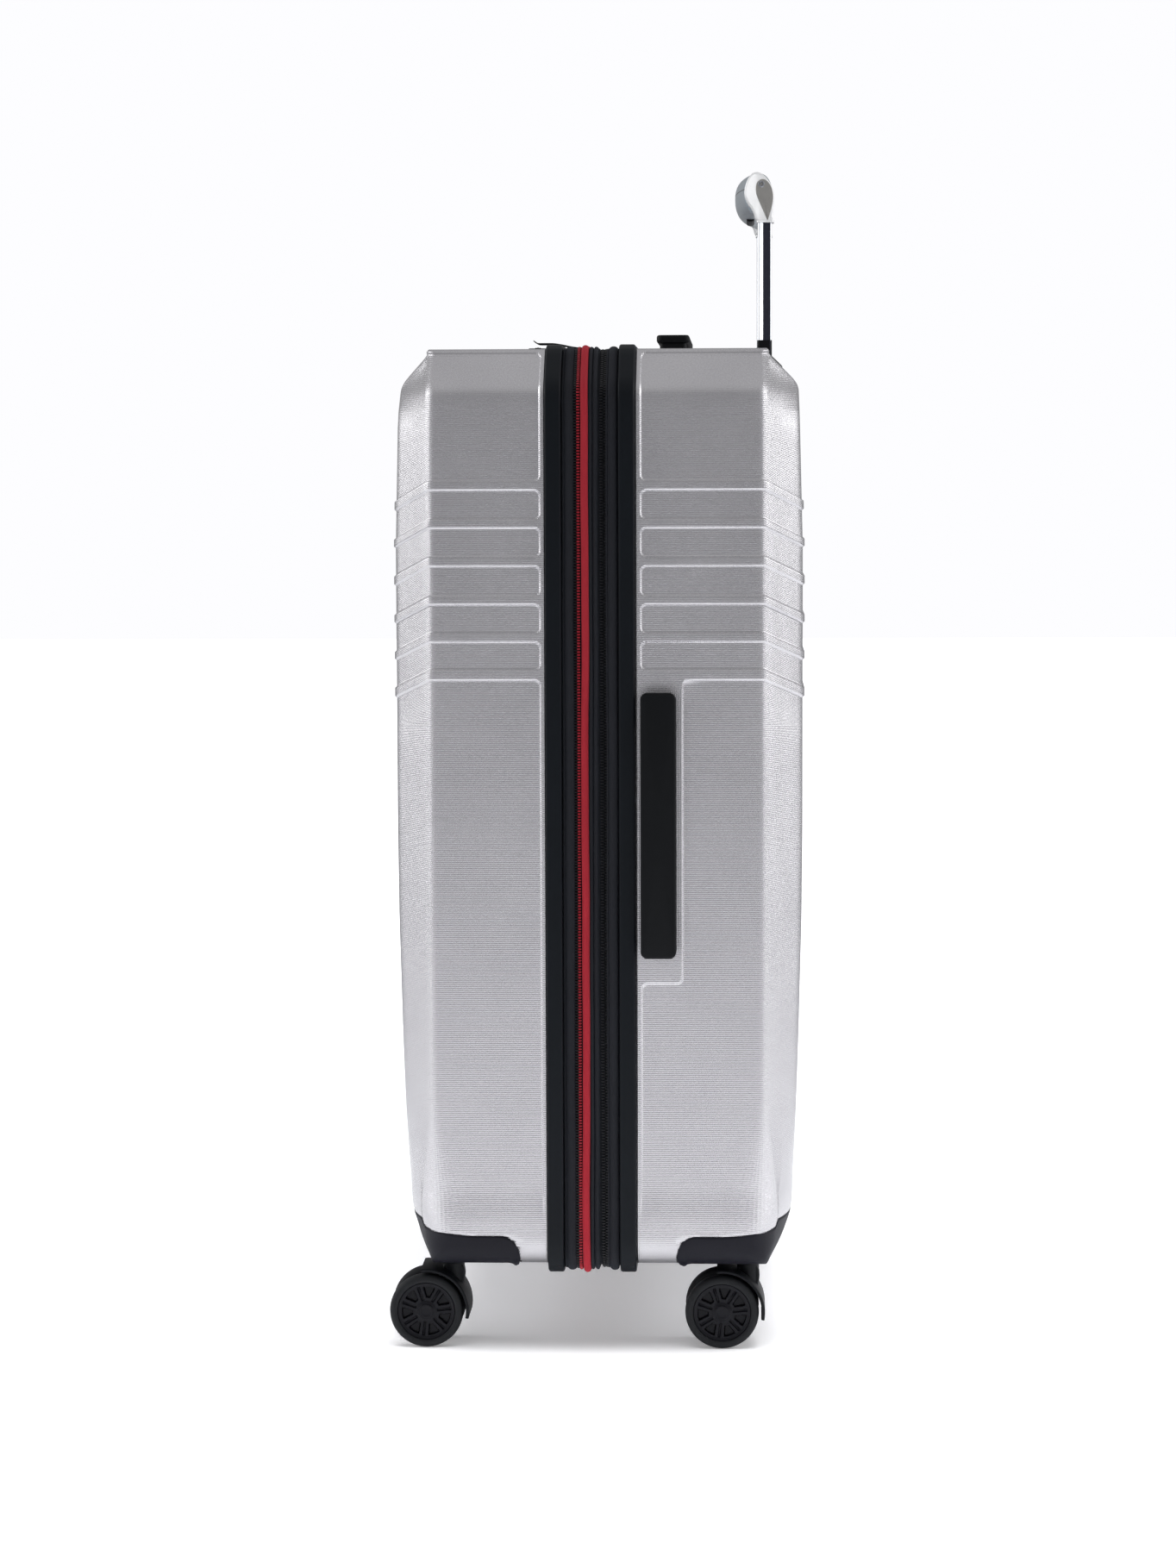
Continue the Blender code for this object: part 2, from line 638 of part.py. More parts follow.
def add_trolley(form, shell, lining):
    add_trolley_tray(form, shell, lining)
    clear = 2 * OUTER_TUBE_GAP + 2 * OUTER_TUBE_WALL
    outer_size = (TUBE_SIZE[0] + clear, TUBE_SIZE[1] + clear)
    half_x = outer_size[0] / 2
    reach_y = TUBE_Y + outer_size[1] / 2 + BASE_MARGIN
    base = box((TUBE_X - half_x, -reach_y, BASE_BOTTOM), (TUBE_X + half_x, reach_y, BASE_TOP))
    add("trolley_base", base, BLACK)
    tube_bottom = BASE_TOP + STOW_TRAVEL + BASE_MARGIN
    for side_name, side in SIDES.items():
        square_tube(
            f"trolley_outer_{side_name}", outer_size, OUTER_TUBE_WALL, (BASE_TOP + GAP, TRAY_FLOOR - GAP), side
        )
        square_tube(f"trolley_tube_{side_name}", TUBE_SIZE, TUBE_WALL, (tube_bottom, TUBE_TOP), side)
        add_grip_cap(side_name, side)
    add_grip()


def add_grip_cap(side_name, side):
    """A teardrop end cap standing on its tube, with the screw that holds the grip in its outer face."""
    lobe_z = GRIP_TOP - CAP_LOBE_DROP
    foot = TUBE_TOP + GAP
    half_foot = TUBE_SIZE[0] / 2 + CAP_FOOT_MARGIN
    outline = [(TUBE_X - half_foot, foot), (TUBE_X + half_foot, foot)]
    outline += arc((CAP_LOBE_X, lobe_z), CAP_LOBE_RADIUS, -8, 200, CAP_POINTS)
    cap = plate(outline, (CAP_OUTER_Y - CAP_INNER_Y) / 2)
    add(f"grip_cap_{side_name}", cap, GRIP, (0, side * TUBE_Y, 0))
    screw_y = CAP_OUTER_Y + GAP + SCREW_PROUD / 2
    screw = rod(SCREW_RADIUS, SCREW_PROUD, axis="Y")
    place = (CAP_LOBE_X, side * screw_y, GRIP_TOP - SCREW_DROP)
    add(f"grip_screw_{side_name}", screw, STEEL, place)


def add_grip():
    """The bar of the grip, an oval bowed towards the front, with the release button let into its underside."""
    half_length = CAP_INNER_Y - GAP
    bm = bmesh.new()
    bmesh.ops.create_cone(bm, cap_ends=True, segments=20, radius1=1, radius2=1, depth=2 * half_length)
    bmesh.ops.rotate(bm, matrix=Matrix.Rotation(math.pi / 2, 3, "X"), verts=bm.verts)
    bmesh.ops.scale(bm, vec=(GRIP_DEPTH / 2, 1, GRIP_HEIGHT / 2), verts=bm.verts)
    for i in range(1, 8):
        level = half_length * (i / 4 - 1)
        bmesh.ops.bisect_plane(
            bm, geom=bm.verts[:] + bm.edges[:] + bm.faces[:], plane_co=(0, level, 0), plane_no=(0, 1, 0)
        )
    for v in bm.verts:
        v.co.x -= GRIP_BOW * (1 - (v.co.y / half_length) ** 2)
    bm.normal_update()
    place = (CAP_LOBE_X, 0, (GRIP_TOP + GRIP_BOTTOM) / 2)
    bar = add("trolley_grip", mesh_of("grip", bm), GRIP, place)
    size = Vector(BUTTON_SIZE) / 2
    middle = Vector((CAP_LOBE_X - GRIP_BOW, 0, GRIP_BOTTOM - BUTTON_PROUD + size.z))
    clear = Vector((GAP, GAP, 0))
    pocket = box(-size - clear, size + clear + Vector((0, 0, BUTTON_PROUD + GAP)))
    combine(bar, add_cutter("button_pocket", pocket, middle))
    add("grip_button", box(-size, size, 0.001), BLACK, middle)


# ---- Zip sliders and the lock ----
def add_slider(name, zip_x, y):
    """A slider that rides on the band along the top of the case."""
    half_x, half_y = SLIDER_SIZE[0] / 2, SLIDER_SIZE[1] / 2
    bottom = BODY_TOP + TAPE_PROUD + GAP
    slider = box((-half_x, -half_y, 0), (half_x, half_y, SLIDER_SIZE[2]), 0.0008, 1)
    add(name, slider, STEEL, (zip_x, y, bottom))
    return bottom + SLIDER_SIZE[2]


def add_sliders():
    for side_name, side in SIDES.items():
        top = add_slider(f"main_slider_{side_name}", MAIN_ZIP_X, side * SLIDER_Y)
        axis_z = top + GAP + PULL_THICK / 2
        axis = add_axis(f"pull_hinge_{side_name}", (MAIN_ZIP_X, side * SLIDER_Y, axis_z))
        half = PULL_THICK / 2
        reach = LOCK_X[1] + GAP - MAIN_ZIP_X
        pull = box((reach, -PULL_WIDTH / 2, -half), (PULL_TAIL, PULL_WIDTH / 2, half), 0.0006, 1)
        add(f"main_pull_{side_name}", pull, STEEL, parent=axis)
    add_slider("expansion_slider", EXPANSION_ZIP_X, EXPANSION_SLIDER_Y)


def add_lock(shell):
    """The lock block let into the top of the front shell, with three dials and a button."""
    middle_x = sum(LOCK_X) / 2
    top, bottom = BODY_TOP + LOCK_PROUD, BODY_TOP - LOCK_DEPTH
    low = (LOCK_X[0], -LOCK_HALF_LENGTH, bottom)
    high = (LOCK_X[1], LOCK_HALF_LENGTH, top)
    block = add("lock_body", box(low, high), BLACK)
    gap = Vector((GAP, GAP, 0))
    deep = Vector((0, 0, LOCK_DEPTH))
    combine(shell, add_cutter("lock_opening", box(Vector(low) - gap - deep, Vector(high) + gap + deep)))
    dial_z = top + DIAL_PROUD - DIAL_RADIUS
    reach = DIAL_RADIUS + GAP
    for i in range(3):
        y = DIAL_FIRST_Y + i * DIAL_PITCH
        half = DIAL_WIDTH / 2 + GAP
        slot = box((-reach, -half, -reach), (reach, half, reach * 2))
        combine(block, add_cutter(f"dial_slot_{i + 1}", slot, (middle_x, y, dial_z)))
        add(f"lock_dial_{i + 1}", rod(DIAL_RADIUS, DIAL_WIDTH, DIAL_SIDES, "Y"), STEEL, (middle_x, y, dial_z))
    half = LOCK_BUTTON_SIZE / 2
    pocket = box((-half - GAP, -half - GAP, -LOCK_DEPTH / 2), (half + GAP, half + GAP, LOCK_DEPTH))
    place = (middle_x, LOCK_BUTTON_Y, top - LOCK_BUTTON_SIZE / 2)
    combine(block, add_cutter("button_opening", pocket, place))
    button = box((-half, -half, -half), (half, half, half + DIAL_PROUD), 0.0006, 1)
    add("lock_button", button, STEEL, place)


# ---- Linings, straps, gusset and hinge ----
def add_linings():
    mouth = abs(FRONT_FRAME[0]) + GAP
    bm = half_form(mouth, (LINING_SIDE, LINING_SIDE), LINING_TOP, LINING_FLOOR, LINING_SIDE)
    front = add("front_lining", mesh_of("lining", opened_at_mouth(turned_to(-1, bm), -1)), LINING)
    thicken(front, LINING_WALL)
    bm = prism(
        (REAR_FRAME[1] + GAP, REAR_LINING_BACK),
        (-HALF_WIDTH + LINING_NEAR_REAR, HALF_WIDTH - LINING_SIDE),
        (BODY_BOTTOM + LINING_FLOOR, BODY_TOP - LINING_TOP),
        CORNER_CHAMFER,
        CORNER_RADIUS,
    )
    rear = add("rear_lining", mesh_of("lining", opened_at_mouth(bm, 1)), LINING)
    thicken(rear, LINING_WALL)
    strap_back = REAR_LINING_BACK - LINING_WALL - GAP
    half_length = HALF_WIDTH - LINING_NEAR_REAR * 2
    for name, z in STRAP_HEIGHTS.items():
        low = (strap_back - STRAP_THICK, -half_length, z - STRAP_WIDTH / 2)
        add(f"pack_strap_{name}", box(low, (strap_back, half_length, z + STRAP_WIDTH / 2)), FABRIC)
    return rear


def add_gusset():
    """The fold-out wall, held by the zip ring: it slides inside the rear lining."""
    clear = LINING_WALL + GUSSET_CLEAR
    far_inset = FRAME_WALL - FRAME_PROUD + HINGE_STRIP_THICK + 3 * GUSSET_CLEAR
    bm = prism(
        (MAIN_ZIP_X + GAP, GUSSET_END),
        (-HALF_WIDTH + LINING_NEAR_REAR + clear, HALF_WIDTH - far_inset),
        (BODY_BOTTOM + LINING_FLOOR + clear, BODY_TOP - LINING_TOP - clear),
        CORNER_CHAMFER,
        CORNER_RADIUS,
    )
    ring_of("gusset", bm, LINING_WALL, FABRIC)


def add_hinge_strip():
    """Fabric along the far side that joins the zip ring and the front frame."""
    outer = HALF_WIDTH + TAPE_PROUD - RING_WALL - GAP
    low = (FRONT_FRAME[0], outer - HINGE_STRIP_THICK, BODY_BOTTOM + HINGE_STRIP_SHORT)
    high = (EXPANSION_ZIP_X, outer, BODY_TOP - HINGE_STRIP_SHORT)
    add("hinge_strip", box(low, high), FABRIC)


def add_zip_band():
    band("front_frame", FRONT_FRAME, FRAME_PROUD, FRAME_WALL, RIM)
    band("front_zip_tape", (FRONT_FRAME[1] + GAP, MAIN_ZIP_X - GAP), TAPE_PROUD, TAPE_WALL, FABRIC)
    band("zip_ring", (MAIN_ZIP_X + GAP, EXPANSION_ZIP_X - GAP), TAPE_PROUD, RING_WALL, RED)
    band("rear_zip_tape", (EXPANSION_ZIP_X + GAP, REAR_FRAME[0] - GAP), TAPE_PROUD, TAPE_WALL, FABRIC)
    band("rear_frame", REAR_FRAME, FRAME_PROUD, FRAME_WALL, RIM)


# ---- The suitcase ----
front_form = add_cutter("front_form", mesh_of("form", turned_to(-1, half_form(0))))
rear_form = add_cutter("rear_form", mesh_of("form", half_form(0)))
front_shell = add_shell("front_shell", ENDS["front"])
rear_shell = add_shell("rear_shell", ENDS["rear"])
add_housings(front_shell, "front", front_form)
add_housings(rear_shell, "rear", rear_form)
add_zip_band()
rear_lining = add_linings()
add_gusset()
add_hinge_strip()
add_casters()
add_lock(front_shell)
add_sliders()

# Local X runs up the side and local Z out of it, or along Y and up for the top handle.
outward_near = Matrix(((0, -1, 0), (0, 0, -1), (1, 0, 0)))
upward = Matrix(((0, -1, 0), (1, 0, 0), (0, 0, 1)))
add_handle("side_handle", SIDE_HANDLE, SIDE_HANDLE_PLACE, outward_near, rear_shell)
add_handle("top_handle", TOP_HANDLE, TOP_HANDLE_PLACE, upward, rear_shell)
add_trolley(rear_form, rear_shell, rear_lining)
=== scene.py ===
# %% [markdown]
# # A hard shell suitcase on four double wheels
#
# The case stands closed with its carry handles down and its pull handle part way up. Each piece is a
# surface worked out with numpy: a shape is a function of two numbers on a grid, or an outline carried
# along a path. Sizes are in millimetres from the middle of the case at floor level: X runs from the front
# shell to the rear one, Y from the side with the carry handle to the hinged side, and Z is up.

# %% The frame
import math

import bmesh
import bpy
import numpy as np
from mathutils import Matrix, Vector


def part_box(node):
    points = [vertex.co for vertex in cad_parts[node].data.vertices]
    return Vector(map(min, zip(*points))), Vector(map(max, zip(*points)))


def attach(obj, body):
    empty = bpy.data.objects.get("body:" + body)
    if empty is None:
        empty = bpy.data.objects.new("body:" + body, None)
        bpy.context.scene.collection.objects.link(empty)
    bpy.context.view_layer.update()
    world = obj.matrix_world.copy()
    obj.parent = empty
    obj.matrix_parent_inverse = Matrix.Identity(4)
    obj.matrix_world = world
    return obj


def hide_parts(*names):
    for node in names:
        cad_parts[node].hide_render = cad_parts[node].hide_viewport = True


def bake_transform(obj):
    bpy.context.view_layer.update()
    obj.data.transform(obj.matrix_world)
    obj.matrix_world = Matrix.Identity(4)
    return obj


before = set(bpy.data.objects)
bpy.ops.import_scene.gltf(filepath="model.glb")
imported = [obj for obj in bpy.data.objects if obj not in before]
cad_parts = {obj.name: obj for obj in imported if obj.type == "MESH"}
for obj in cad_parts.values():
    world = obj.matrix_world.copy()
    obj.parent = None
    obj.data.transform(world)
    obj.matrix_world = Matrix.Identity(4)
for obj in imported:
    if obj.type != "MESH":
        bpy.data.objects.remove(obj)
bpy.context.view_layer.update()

scene = bpy.context.scene
MM = 0.001
shells = [
    np.array([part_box(node) for node in ("front_shell", "rear_shell")])[:, :, axis] for axis in range(3)
]
MIDDLE = np.array([(shells[0].min() + shells[0].max()) / 2, (shells[1].min() + shells[1].max()) / 2, 0])
print("the middle of the case is at", MIDDLE.round(5))

# %% [markdown]
# ## Meshes from arrays
#
# A grid of points becomes four-sided faces by numbering its points in rows. Every piece here ends in the
# same function, so that doubles are merged, seams and poles are closed and faces point outwards.


# %% Helpers for surfaces
def surface(points, around=False, along=False):
    """A grid's points and faces. Face (i, j) joins points (i, j), (i, j + 1), (i + 1, j + 1) and (i + 1, j).
    around joins the last column to the first, and along the last row to the first."""
    rows, columns = points.shape[:2]
    index = np.arange(rows * columns).reshape(rows, columns)
    if around:
        index = np.hstack([index, index[:, :1]])
    if along:
        index = np.vstack([index, index[:1]])
    faces = np.stack([index[:-1, :-1], index[:-1, 1:], index[1:, 1:], index[1:, :-1]], axis=-1)
    return points.reshape(-1, 3), faces.reshape(-1, 4)


def solid(rings):
    """A closed body from rings of points: its ends are drawn in to the middle of the first and last ring."""
    first = np.broadcast_to(rings[0].mean(axis=0), rings[0].shape)
    last = np.broadcast_to(rings[-1].mean(axis=0), rings[-1].shape)
    return surface(np.concatenate([first[None], rings, last[None]]), around=True)


def make(name, body, material, *surfaces, slot=None, replaces=(), sharp=35, outward=True, pattern=None):
    """One piece from surfaces of (points, faces) in millimetres. It rides on a body. pattern gives each
    point three numbers, kept as an attribute, that a material's pattern can follow."""
    points = np.concatenate([s[0] for s in surfaces])
    starts = np.cumsum([0] + [len(s[0]) for s in surfaces[:-1]])
    faces = np.concatenate([s[1] + start for s, start in zip(surfaces, starts)])
    mesh = bpy.data.meshes.new(name)
    mesh.from_pydata((points * MM + MIDDLE).tolist(), [], faces.tolist())
    if pattern is not None:
        layer = mesh.attributes.new("pattern", "FLOAT_VECTOR", "POINT")
        layer.data.foreach_set("vector", np.asarray(pattern, dtype=np.float32).ravel())
    bm = bmesh.new()
    bm.from_mesh(mesh)
    bmesh.ops.remove_doubles(bm, verts=bm.verts, dist=0.003 * MM)
    if outward:
        bmesh.ops.recalc_face_normals(bm, faces=bm.faces)
    bm.to_mesh(mesh)
    bm.free()
    mesh.shade_smooth()
    mesh.set_sharp_from_angle(angle=math.radians(sharp))
    obj = bpy.data.objects.new(name, mesh)
    scene.collection.objects.link(obj)
    mesh.materials.append(material)
    print(name, len(mesh.polygons), "faces")
    if body:
        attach(obj, body)
    if replaces:
        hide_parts(*replaces)
    return obj


def smooth(low, high, x):
    """0 below low, 1 above high, and between them the S curve 3t^2 - 2t^3."""
    t = np.clip((x - low) / (high - low), 0, 1)
    return t * t * (3 - 2 * t)


# %% [markdown]
# ## Materials
#
# Hex colours are how people write down a colour seen on a screen. Blender works in linear light, so one
# function converts them. Another adds a node: numbers go on its sockets and sockets are linked.


# %% Helpers for materials
def linear(code):
    """sRGB hex to linear: c / 12.92 below 0.04045, and ((c + 0.055) / 1.055)^2.4 above it."""
    channels = [int(code[i : i + 2], 16) / 255 for i in (1, 3, 5)]
    return [c / 12.92 if c <= 0.04045 else ((c + 0.055) / 1.055) ** 2.4 for c in channels] + [1]


def node(tree, kind, settings=None, inputs=None):
    """A new node. settings are its own properties, inputs its sockets by name or number."""
    made = tree.nodes.new(kind)
    for key, value in (settings or {}).items():
        setattr(made, key, value)
    for key, value in (inputs or {}).items():
        if isinstance(value, bpy.types.NodeSocket):
            tree.links.new(value, made.inputs[key])
        else:
            made.inputs[key].default_value = value
    return made


def shader(name, **sockets):
    """A material with a Principled shader. Socket names are written with _ for spaces."""
    material = bpy.data.materials.new(name)
    material.use_nodes = True
    tree = material.node_tree
    principled = tree.nodes["Principled BSDF"]
    for key, value in sockets.items():
        socket = principled.inputs[key.replace("_", " ")]
        socket.default_value = linear(value) if isinstance(value, str) else value
    print("material", name)
    return material, tree, principled


def math_of(tree, operation, a, b=0.0, clamp=False):
    """One Math node: an operation on one or two numbers."""
    return node(
        tree, "ShaderNodeMath", {"operation": operation, "use_clamp": clamp}, {0: a, 1: b}
    ).outputs[0]


def coordinates(tree, attribute=None):
    """Object coordinates, in metres, or the piece's own pattern attribute, in millimetres."""
    if attribute:
        return node(tree, "ShaderNodeAttribute", {"attribute_name": attribute}).outputs["Vector"]
    return node(tree, "ShaderNodeTexCoord").outputs["Object"]


def noise(tree, where, size, detail=2.0, roughness=0.5, metres=True):
    """Noise whose lumps are about size millimetres across."""
    scale = 1 / (size * MM) if metres else 1 / size
    inputs = {"Vector": where, "Scale": scale, "Detail": detail, "Roughness": roughness}
    return node(tree, "ShaderNodeTexNoise", {}, inputs).outputs["Fac"]


def between(tree, factor, low, high):
    """A colour between two hex colours, or a number between two numbers, by a factor."""
    if isinstance(low, str):
        inputs = {0: factor, 6: linear(low), 7: linear(high)}
        return node(tree, "ShaderNodeMix", {"data_type": "RGBA"}, inputs).outputs[2]
    return node(tree, "ShaderNodeMapRange", {}, {0: factor, 1: 0.0, 2: 1.0, 3: low, 4: high}).outputs[0]


def bump(tree, principled, height, distance, strength=1.0):
    """Bump of that many millimetres."""
    inputs = {"Height": height, "Distance": distance * MM, "Strength": strength}
    normal = node(tree, "ShaderNodeBump", {}, inputs).outputs[0]
    tree.links.new(normal, principled.inputs["Normal"])


# %% [markdown]
# The shells are polycarbonate sheet under a silver film, drawn hot over a mould. The film is fine metal
# flake in lacquer, so it shines like brushed metal without being a mirror. The mould gives it a fine
# diamond grain that breaks up its highlights.


# %% Silver film on polycarbonate
def silver_film():
    """Grain height is sin(x + y) sin(x - y), which makes diamonds, plus noise for the metal flake."""
    material, tree, principled = shader(
        "silver_film_on_polycarbonate", Metallic=0.88, Coat_Weight=0.15, Coat_Roughness=0.2
    )
    where = coordinates(tree, "pattern")
    axes = node(tree, "ShaderNodeSeparateXYZ", {}, {0: where}).outputs
    pitch = 2.3  # the real grain is about 1.2 mm, too fine to show, so it is drawn at twice that
    one = math_of(
        tree, "SINE", math_of(tree, "MULTIPLY", math_of(tree, "ADD", axes[0], axes[1]), math.tau / pitch)
    )
    two = math_of(
        tree, "SINE",
        math_of(tree, "MULTIPLY", math_of(tree, "SUBTRACT", axes[0], axes[1]), math.tau / pitch)
    )
    diamonds = math_of(tree, "MULTIPLY", one, two)
    flake = noise(tree, where, 1.1, detail=3, roughness=0.7, metres=False)
    cloud = noise(tree, where, 60, detail=2, metres=False)
    mixed = math_of(
        tree, "ADD", math_of(tree, "MULTIPLY", flake, 0.75), math_of(tree, "MULTIPLY", cloud, 0.25)
    )
    colour = between(tree, mixed, "#b9b7bb", "#efeef0")
    tree.links.new(colour, principled.inputs["Base Color"])
    tree.links.new(between(tree, flake, 0.17, 0.3), principled.inputs["Roughness"])
    height = math_of(tree, "ADD", math_of(tree, "MULTIPLY", diamonds, 0.5), flake)
    bump(tree, principled, height, 0.16)
    return material


SILVER_FILM = silver_film()


# %% [markdown]
# ## The shells
#
# Each half is one sheet that wraps from the side, round a sloping chamfer, over the broad face and back.
# It is a function of s, which runs along a level section of the wall, and r, which runs up it. Both ends
# of r fold over and close the top and the bottom. The recessed panels between the ribs are pressed in
# along the wall's own normal, by how far inside a rounded rectangle a point lies.

# %% The wall's section and height
HALF_WIDTH = 257.5
TOP, BOTTOM = 769.5, 66.5
TURN = 128.0  # where the side wall turns into the chamfer
FRONT_MOUTH, REAR_MOUTH = 39.3, 29.3  # from the middle to each shell's cut edge
RIB_DROP = 15.6  # the ribs fall by this much across the chamfer
SIDE_END, FIRST_BEND_END, CHAMFER_END, SECOND_BEND_END, FACE_END = 122.0, 134.0, 170.0, 186.0, 391.0


def rounded(knots, radius, steps=6):
    """A line of straight runs through knots, each inner corner replaced by the curve
    (1 - t)^2 a + 2t(1 - t) b + t^2 c, where a and c lie at most radius before and after corner b."""
    knots = np.array(knots, dtype=float)
    out = [knots[0]]
    t = np.linspace(0, 1, steps)[:, None]
    for before, corner, after in zip(knots[:-2], knots[1:-1], knots[2:]):
        back, on = before - corner, after - corner
        a = corner + back * min(0.5, radius / np.linalg.norm(back[:1]))
        c = corner + on * min(0.5, radius / np.linalg.norm(on[:1]))
        out.extend((1 - t) ** 2 * a + 2 * t * (1 - t) * corner + t**2 * c)
    out.append(knots[-1])
    return np.array(out)


EDGE = HALF_WIDTH - 31
BOTTOM_EDGE = HALF_WIDTH - 21
half_widths = rounded(
    [
        (BOTTOM - BOTTOM_EDGE, 0),
        (BOTTOM, BOTTOM_EDGE),
        (BOTTOM + 1.6, BOTTOM_EDGE + 8),
        (BOTTOM + 6.2, BOTTOM_EDGE + 14.9),
        (BOTTOM + 13, BOTTOM_EDGE + 19.4),
        (BOTTOM + 21, HALF_WIDTH),
        (TOP - 31, HALF_WIDTH),
        (TOP, EDGE),
        (TOP + EDGE, 0),
    ],
    5,
)
heights = rounded([(BOTTOM - BOTTOM_EDGE, BOTTOM), (BOTTOM, BOTTOM), (TOP, TOP), (TOP + EDGE, TOP)], 3)
depths = rounded(
    [
        (BOTTOM - BOTTOM_EDGE, TURN),
        (BOTTOM, TURN),
        (82, 140.5),
        (92, 145.6),
        (104, 148.6),
        (120, 150.6),
        (180, 153.2),
        (245, 155.3),
        (330, 157.4),
        (400, 158),
        (620, 158),
        (744, 155),
        (TOP, TURN),
        (TOP + EDGE, TURN),
    ],
    6,
)
face_widths = rounded(
    [
        (BOTTOM - BOTTOM_EDGE, 0),
        (BOTTOM, BOTTOM_EDGE),
        (91, 200),
        (104, 209),
        (120, 213.5),
        (718, 213.5),
        (744, 187.5),
        (TOP, EDGE),
        (TOP + EDGE, 0),
    ],
    5,
)


# %% [markdown]
# With those four lines, each a function of height, one function gives any point of the wall. Its normal
# comes from two short steps, because the recesses and the linings move points along it.


# %% A point of the wall
def bent(t, a, b, c):
    """The curve that leaves a towards b and comes to c from b."""
    return (1 - t) ** 2 * a + 2 * t * (1 - t) * b + t**2 * c


def wall(s, r, mouth):
    """Points of a wall at +X with y > 0. The section is three straight runs, mouth to A, A to B and B to
    the middle, with A and B rounded; A is (TURN, half width) and B is (depth, face width) at that height."""
    drop = RIB_DROP * np.interp(s, [SIDE_END + 6, CHAMFER_END + 8], [0, 1])
    level = r - drop * smooth(470, 520, r) * (1 - smooth(672, 735, r))
    w, z, d, f = (np.interp(level, *line.T) for line in (half_widths, heights, depths, face_widths))
    run_x, run_y = d - TURN, f - w
    length = np.maximum(np.hypot(run_x, run_y), 1e-6)
    low = 1 - smooth(96, 200, level)
    first = np.minimum(6 + 18 * low, 0.45 * length)
    second = np.minimum(8 + 20 * low, 0.5 * length)
    ex, ey = run_x / length, run_y / length
    t = np.clip((s - mouth) / (SIDE_END - mouth), 0, 1)
    x, y = mouth + t * (TURN - first - mouth), w
    t = np.clip((s - SIDE_END) / (FIRST_BEND_END - SIDE_END), 0, 1)
    on = s > SIDE_END
    x = np.where(on, bent(t, TURN - first, TURN, TURN + first * ex), x)
    y = np.where(on, bent(t, w, w, w + first * ey), y)
    t = np.clip((s - FIRST_BEND_END) / (CHAMFER_END - FIRST_BEND_END), 0, 1)
    on = s > FIRST_BEND_END
    along = first + t * (length - first - second)
    x = np.where(on, TURN + along * ex, x)
    y = np.where(on, w + along * ey, y)
    t = np.clip((s - CHAMFER_END) / (SECOND_BEND_END - CHAMFER_END), 0, 1)
    on = s > CHAMFER_END
    bend_in = np.minimum(second, f)
    x = np.where(on, bent(t, d - second * ex, d, d), x)
    y = np.where(on, bent(t, f - second * ey, f, f - bend_in), y)
    t = np.clip((s - SECOND_BEND_END) / (FACE_END - SECOND_BEND_END), 0, 1)
    on = s > SECOND_BEND_END
    x = np.where(on, d, x)
    y = np.where(on, (f - bend_in) * (1 - t), y)
    return np.stack([x, y, z], axis=-1)


def wall_normal(s, r, mouth):
    """The unit normal: the cross product of the steps along s and r."""
    step = 0.2
    along = wall(np.minimum(s + step, FACE_END), r, mouth) - wall(np.maximum(s - step, mouth), r, mouth)
    up = wall(s, r + step, mouth) - wall(s, r - step, mouth)
    normal = np.cross(up, along)
    length = np.linalg.norm(normal, axis=-1, keepdims=True)
    flat = np.stack([0 * s, 0 * s, np.where(r > 400, 1.0, -1.0)], axis=-1)
    return np.where(length > 1e-4, normal / np.maximum(length, 1e-9), flat)


# %% [markdown]
# The panels are measured up the wall where the near side is flat. Five low ones sit between six ribs,
# with a tall one above and a much taller one below. On the rear shell the tall one steps round the carry
# handle.

# %% The panels
PANEL_RADIUS = 4.5
PANEL_DEPTH = 1.5
PANEL_WALL = 1.7
RIBS = [(662.5, 669.7), (634.2, 640.7), (605.2, 612.4), (576.1, 582.7), (547.8, 554.4), (518.8, 526.7)]
panels = list(zip([high for low, high in RIBS[1:]], [low for low, high in RIBS]))[:5]
panels = [(low, high) for low, high in panels] + [(RIBS[0][1], TOP - 2.5), (60.0, RIBS[-1][0])]
HANDLE_STEP = (65.0, 287.0)  # the tall panel starts at this X beside the handle, above this height
HOUSING_TOP = 92.0


def rounded_box(x, y, half_x, half_y, radius):
    """Distance to a rounded rectangle, negative inside: length(max(q, 0)) + min(max(q), 0) - radius,
    where q = |p| - half size + radius."""
    qx, qy = abs(x) - half_x + radius, abs(y) - half_y + radius
    return np.hypot(np.maximum(qx, 0), np.maximum(qy, 0)) + np.minimum(np.maximum(qx, qy), 0) - radius


def soft_max(a, b, size):
    """The larger of two distances, with the corner between them rounded."""
    h = np.maximum(size - abs(a - b), 0) / size
    return np.maximum(a, b) + h * h * size / 4


def panel_distance(s, r, border, stepped):
    """Distance to the nearest panel. Panels start at the border and run over the chamfer, so along s
    they are taken as very long."""
    reach = 600.0
    best = np.full(s.shape, 1e3)
    for low, high in panels:
        middle, half = (low + high) / 2, (high - low) / 2
        distance = rounded_box(s - border - reach, r - middle, reach, half, PANEL_RADIUS)
        if low == 60.0:
            step = rounded_box(s, r - HANDLE_STEP[1] - 400, HANDLE_STEP[0], 400, 5)
            distance = np.where(stepped, soft_max(distance, -step, 6), distance)
        best = np.minimum(best, distance)
    return best


# %% [markdown]
# A wheel housing sits in a seat of its own, pressed in like a panel. The line of its upper edge is needed
# here for the seat and later for the housing itself.


# %% Seats and recesses
def housing_line(s):
    """Height of a housing's upper edge: level along the side and higher round the chamfer."""
    return HOUSING_TOP + 9.5 * smooth(112, 168, s) - 34 * (
        1 - np.sqrt(np.clip((s - 59) / 26, 0, 1) * (2 - np.clip((s - 59) / 26, 0, 1)))
    )


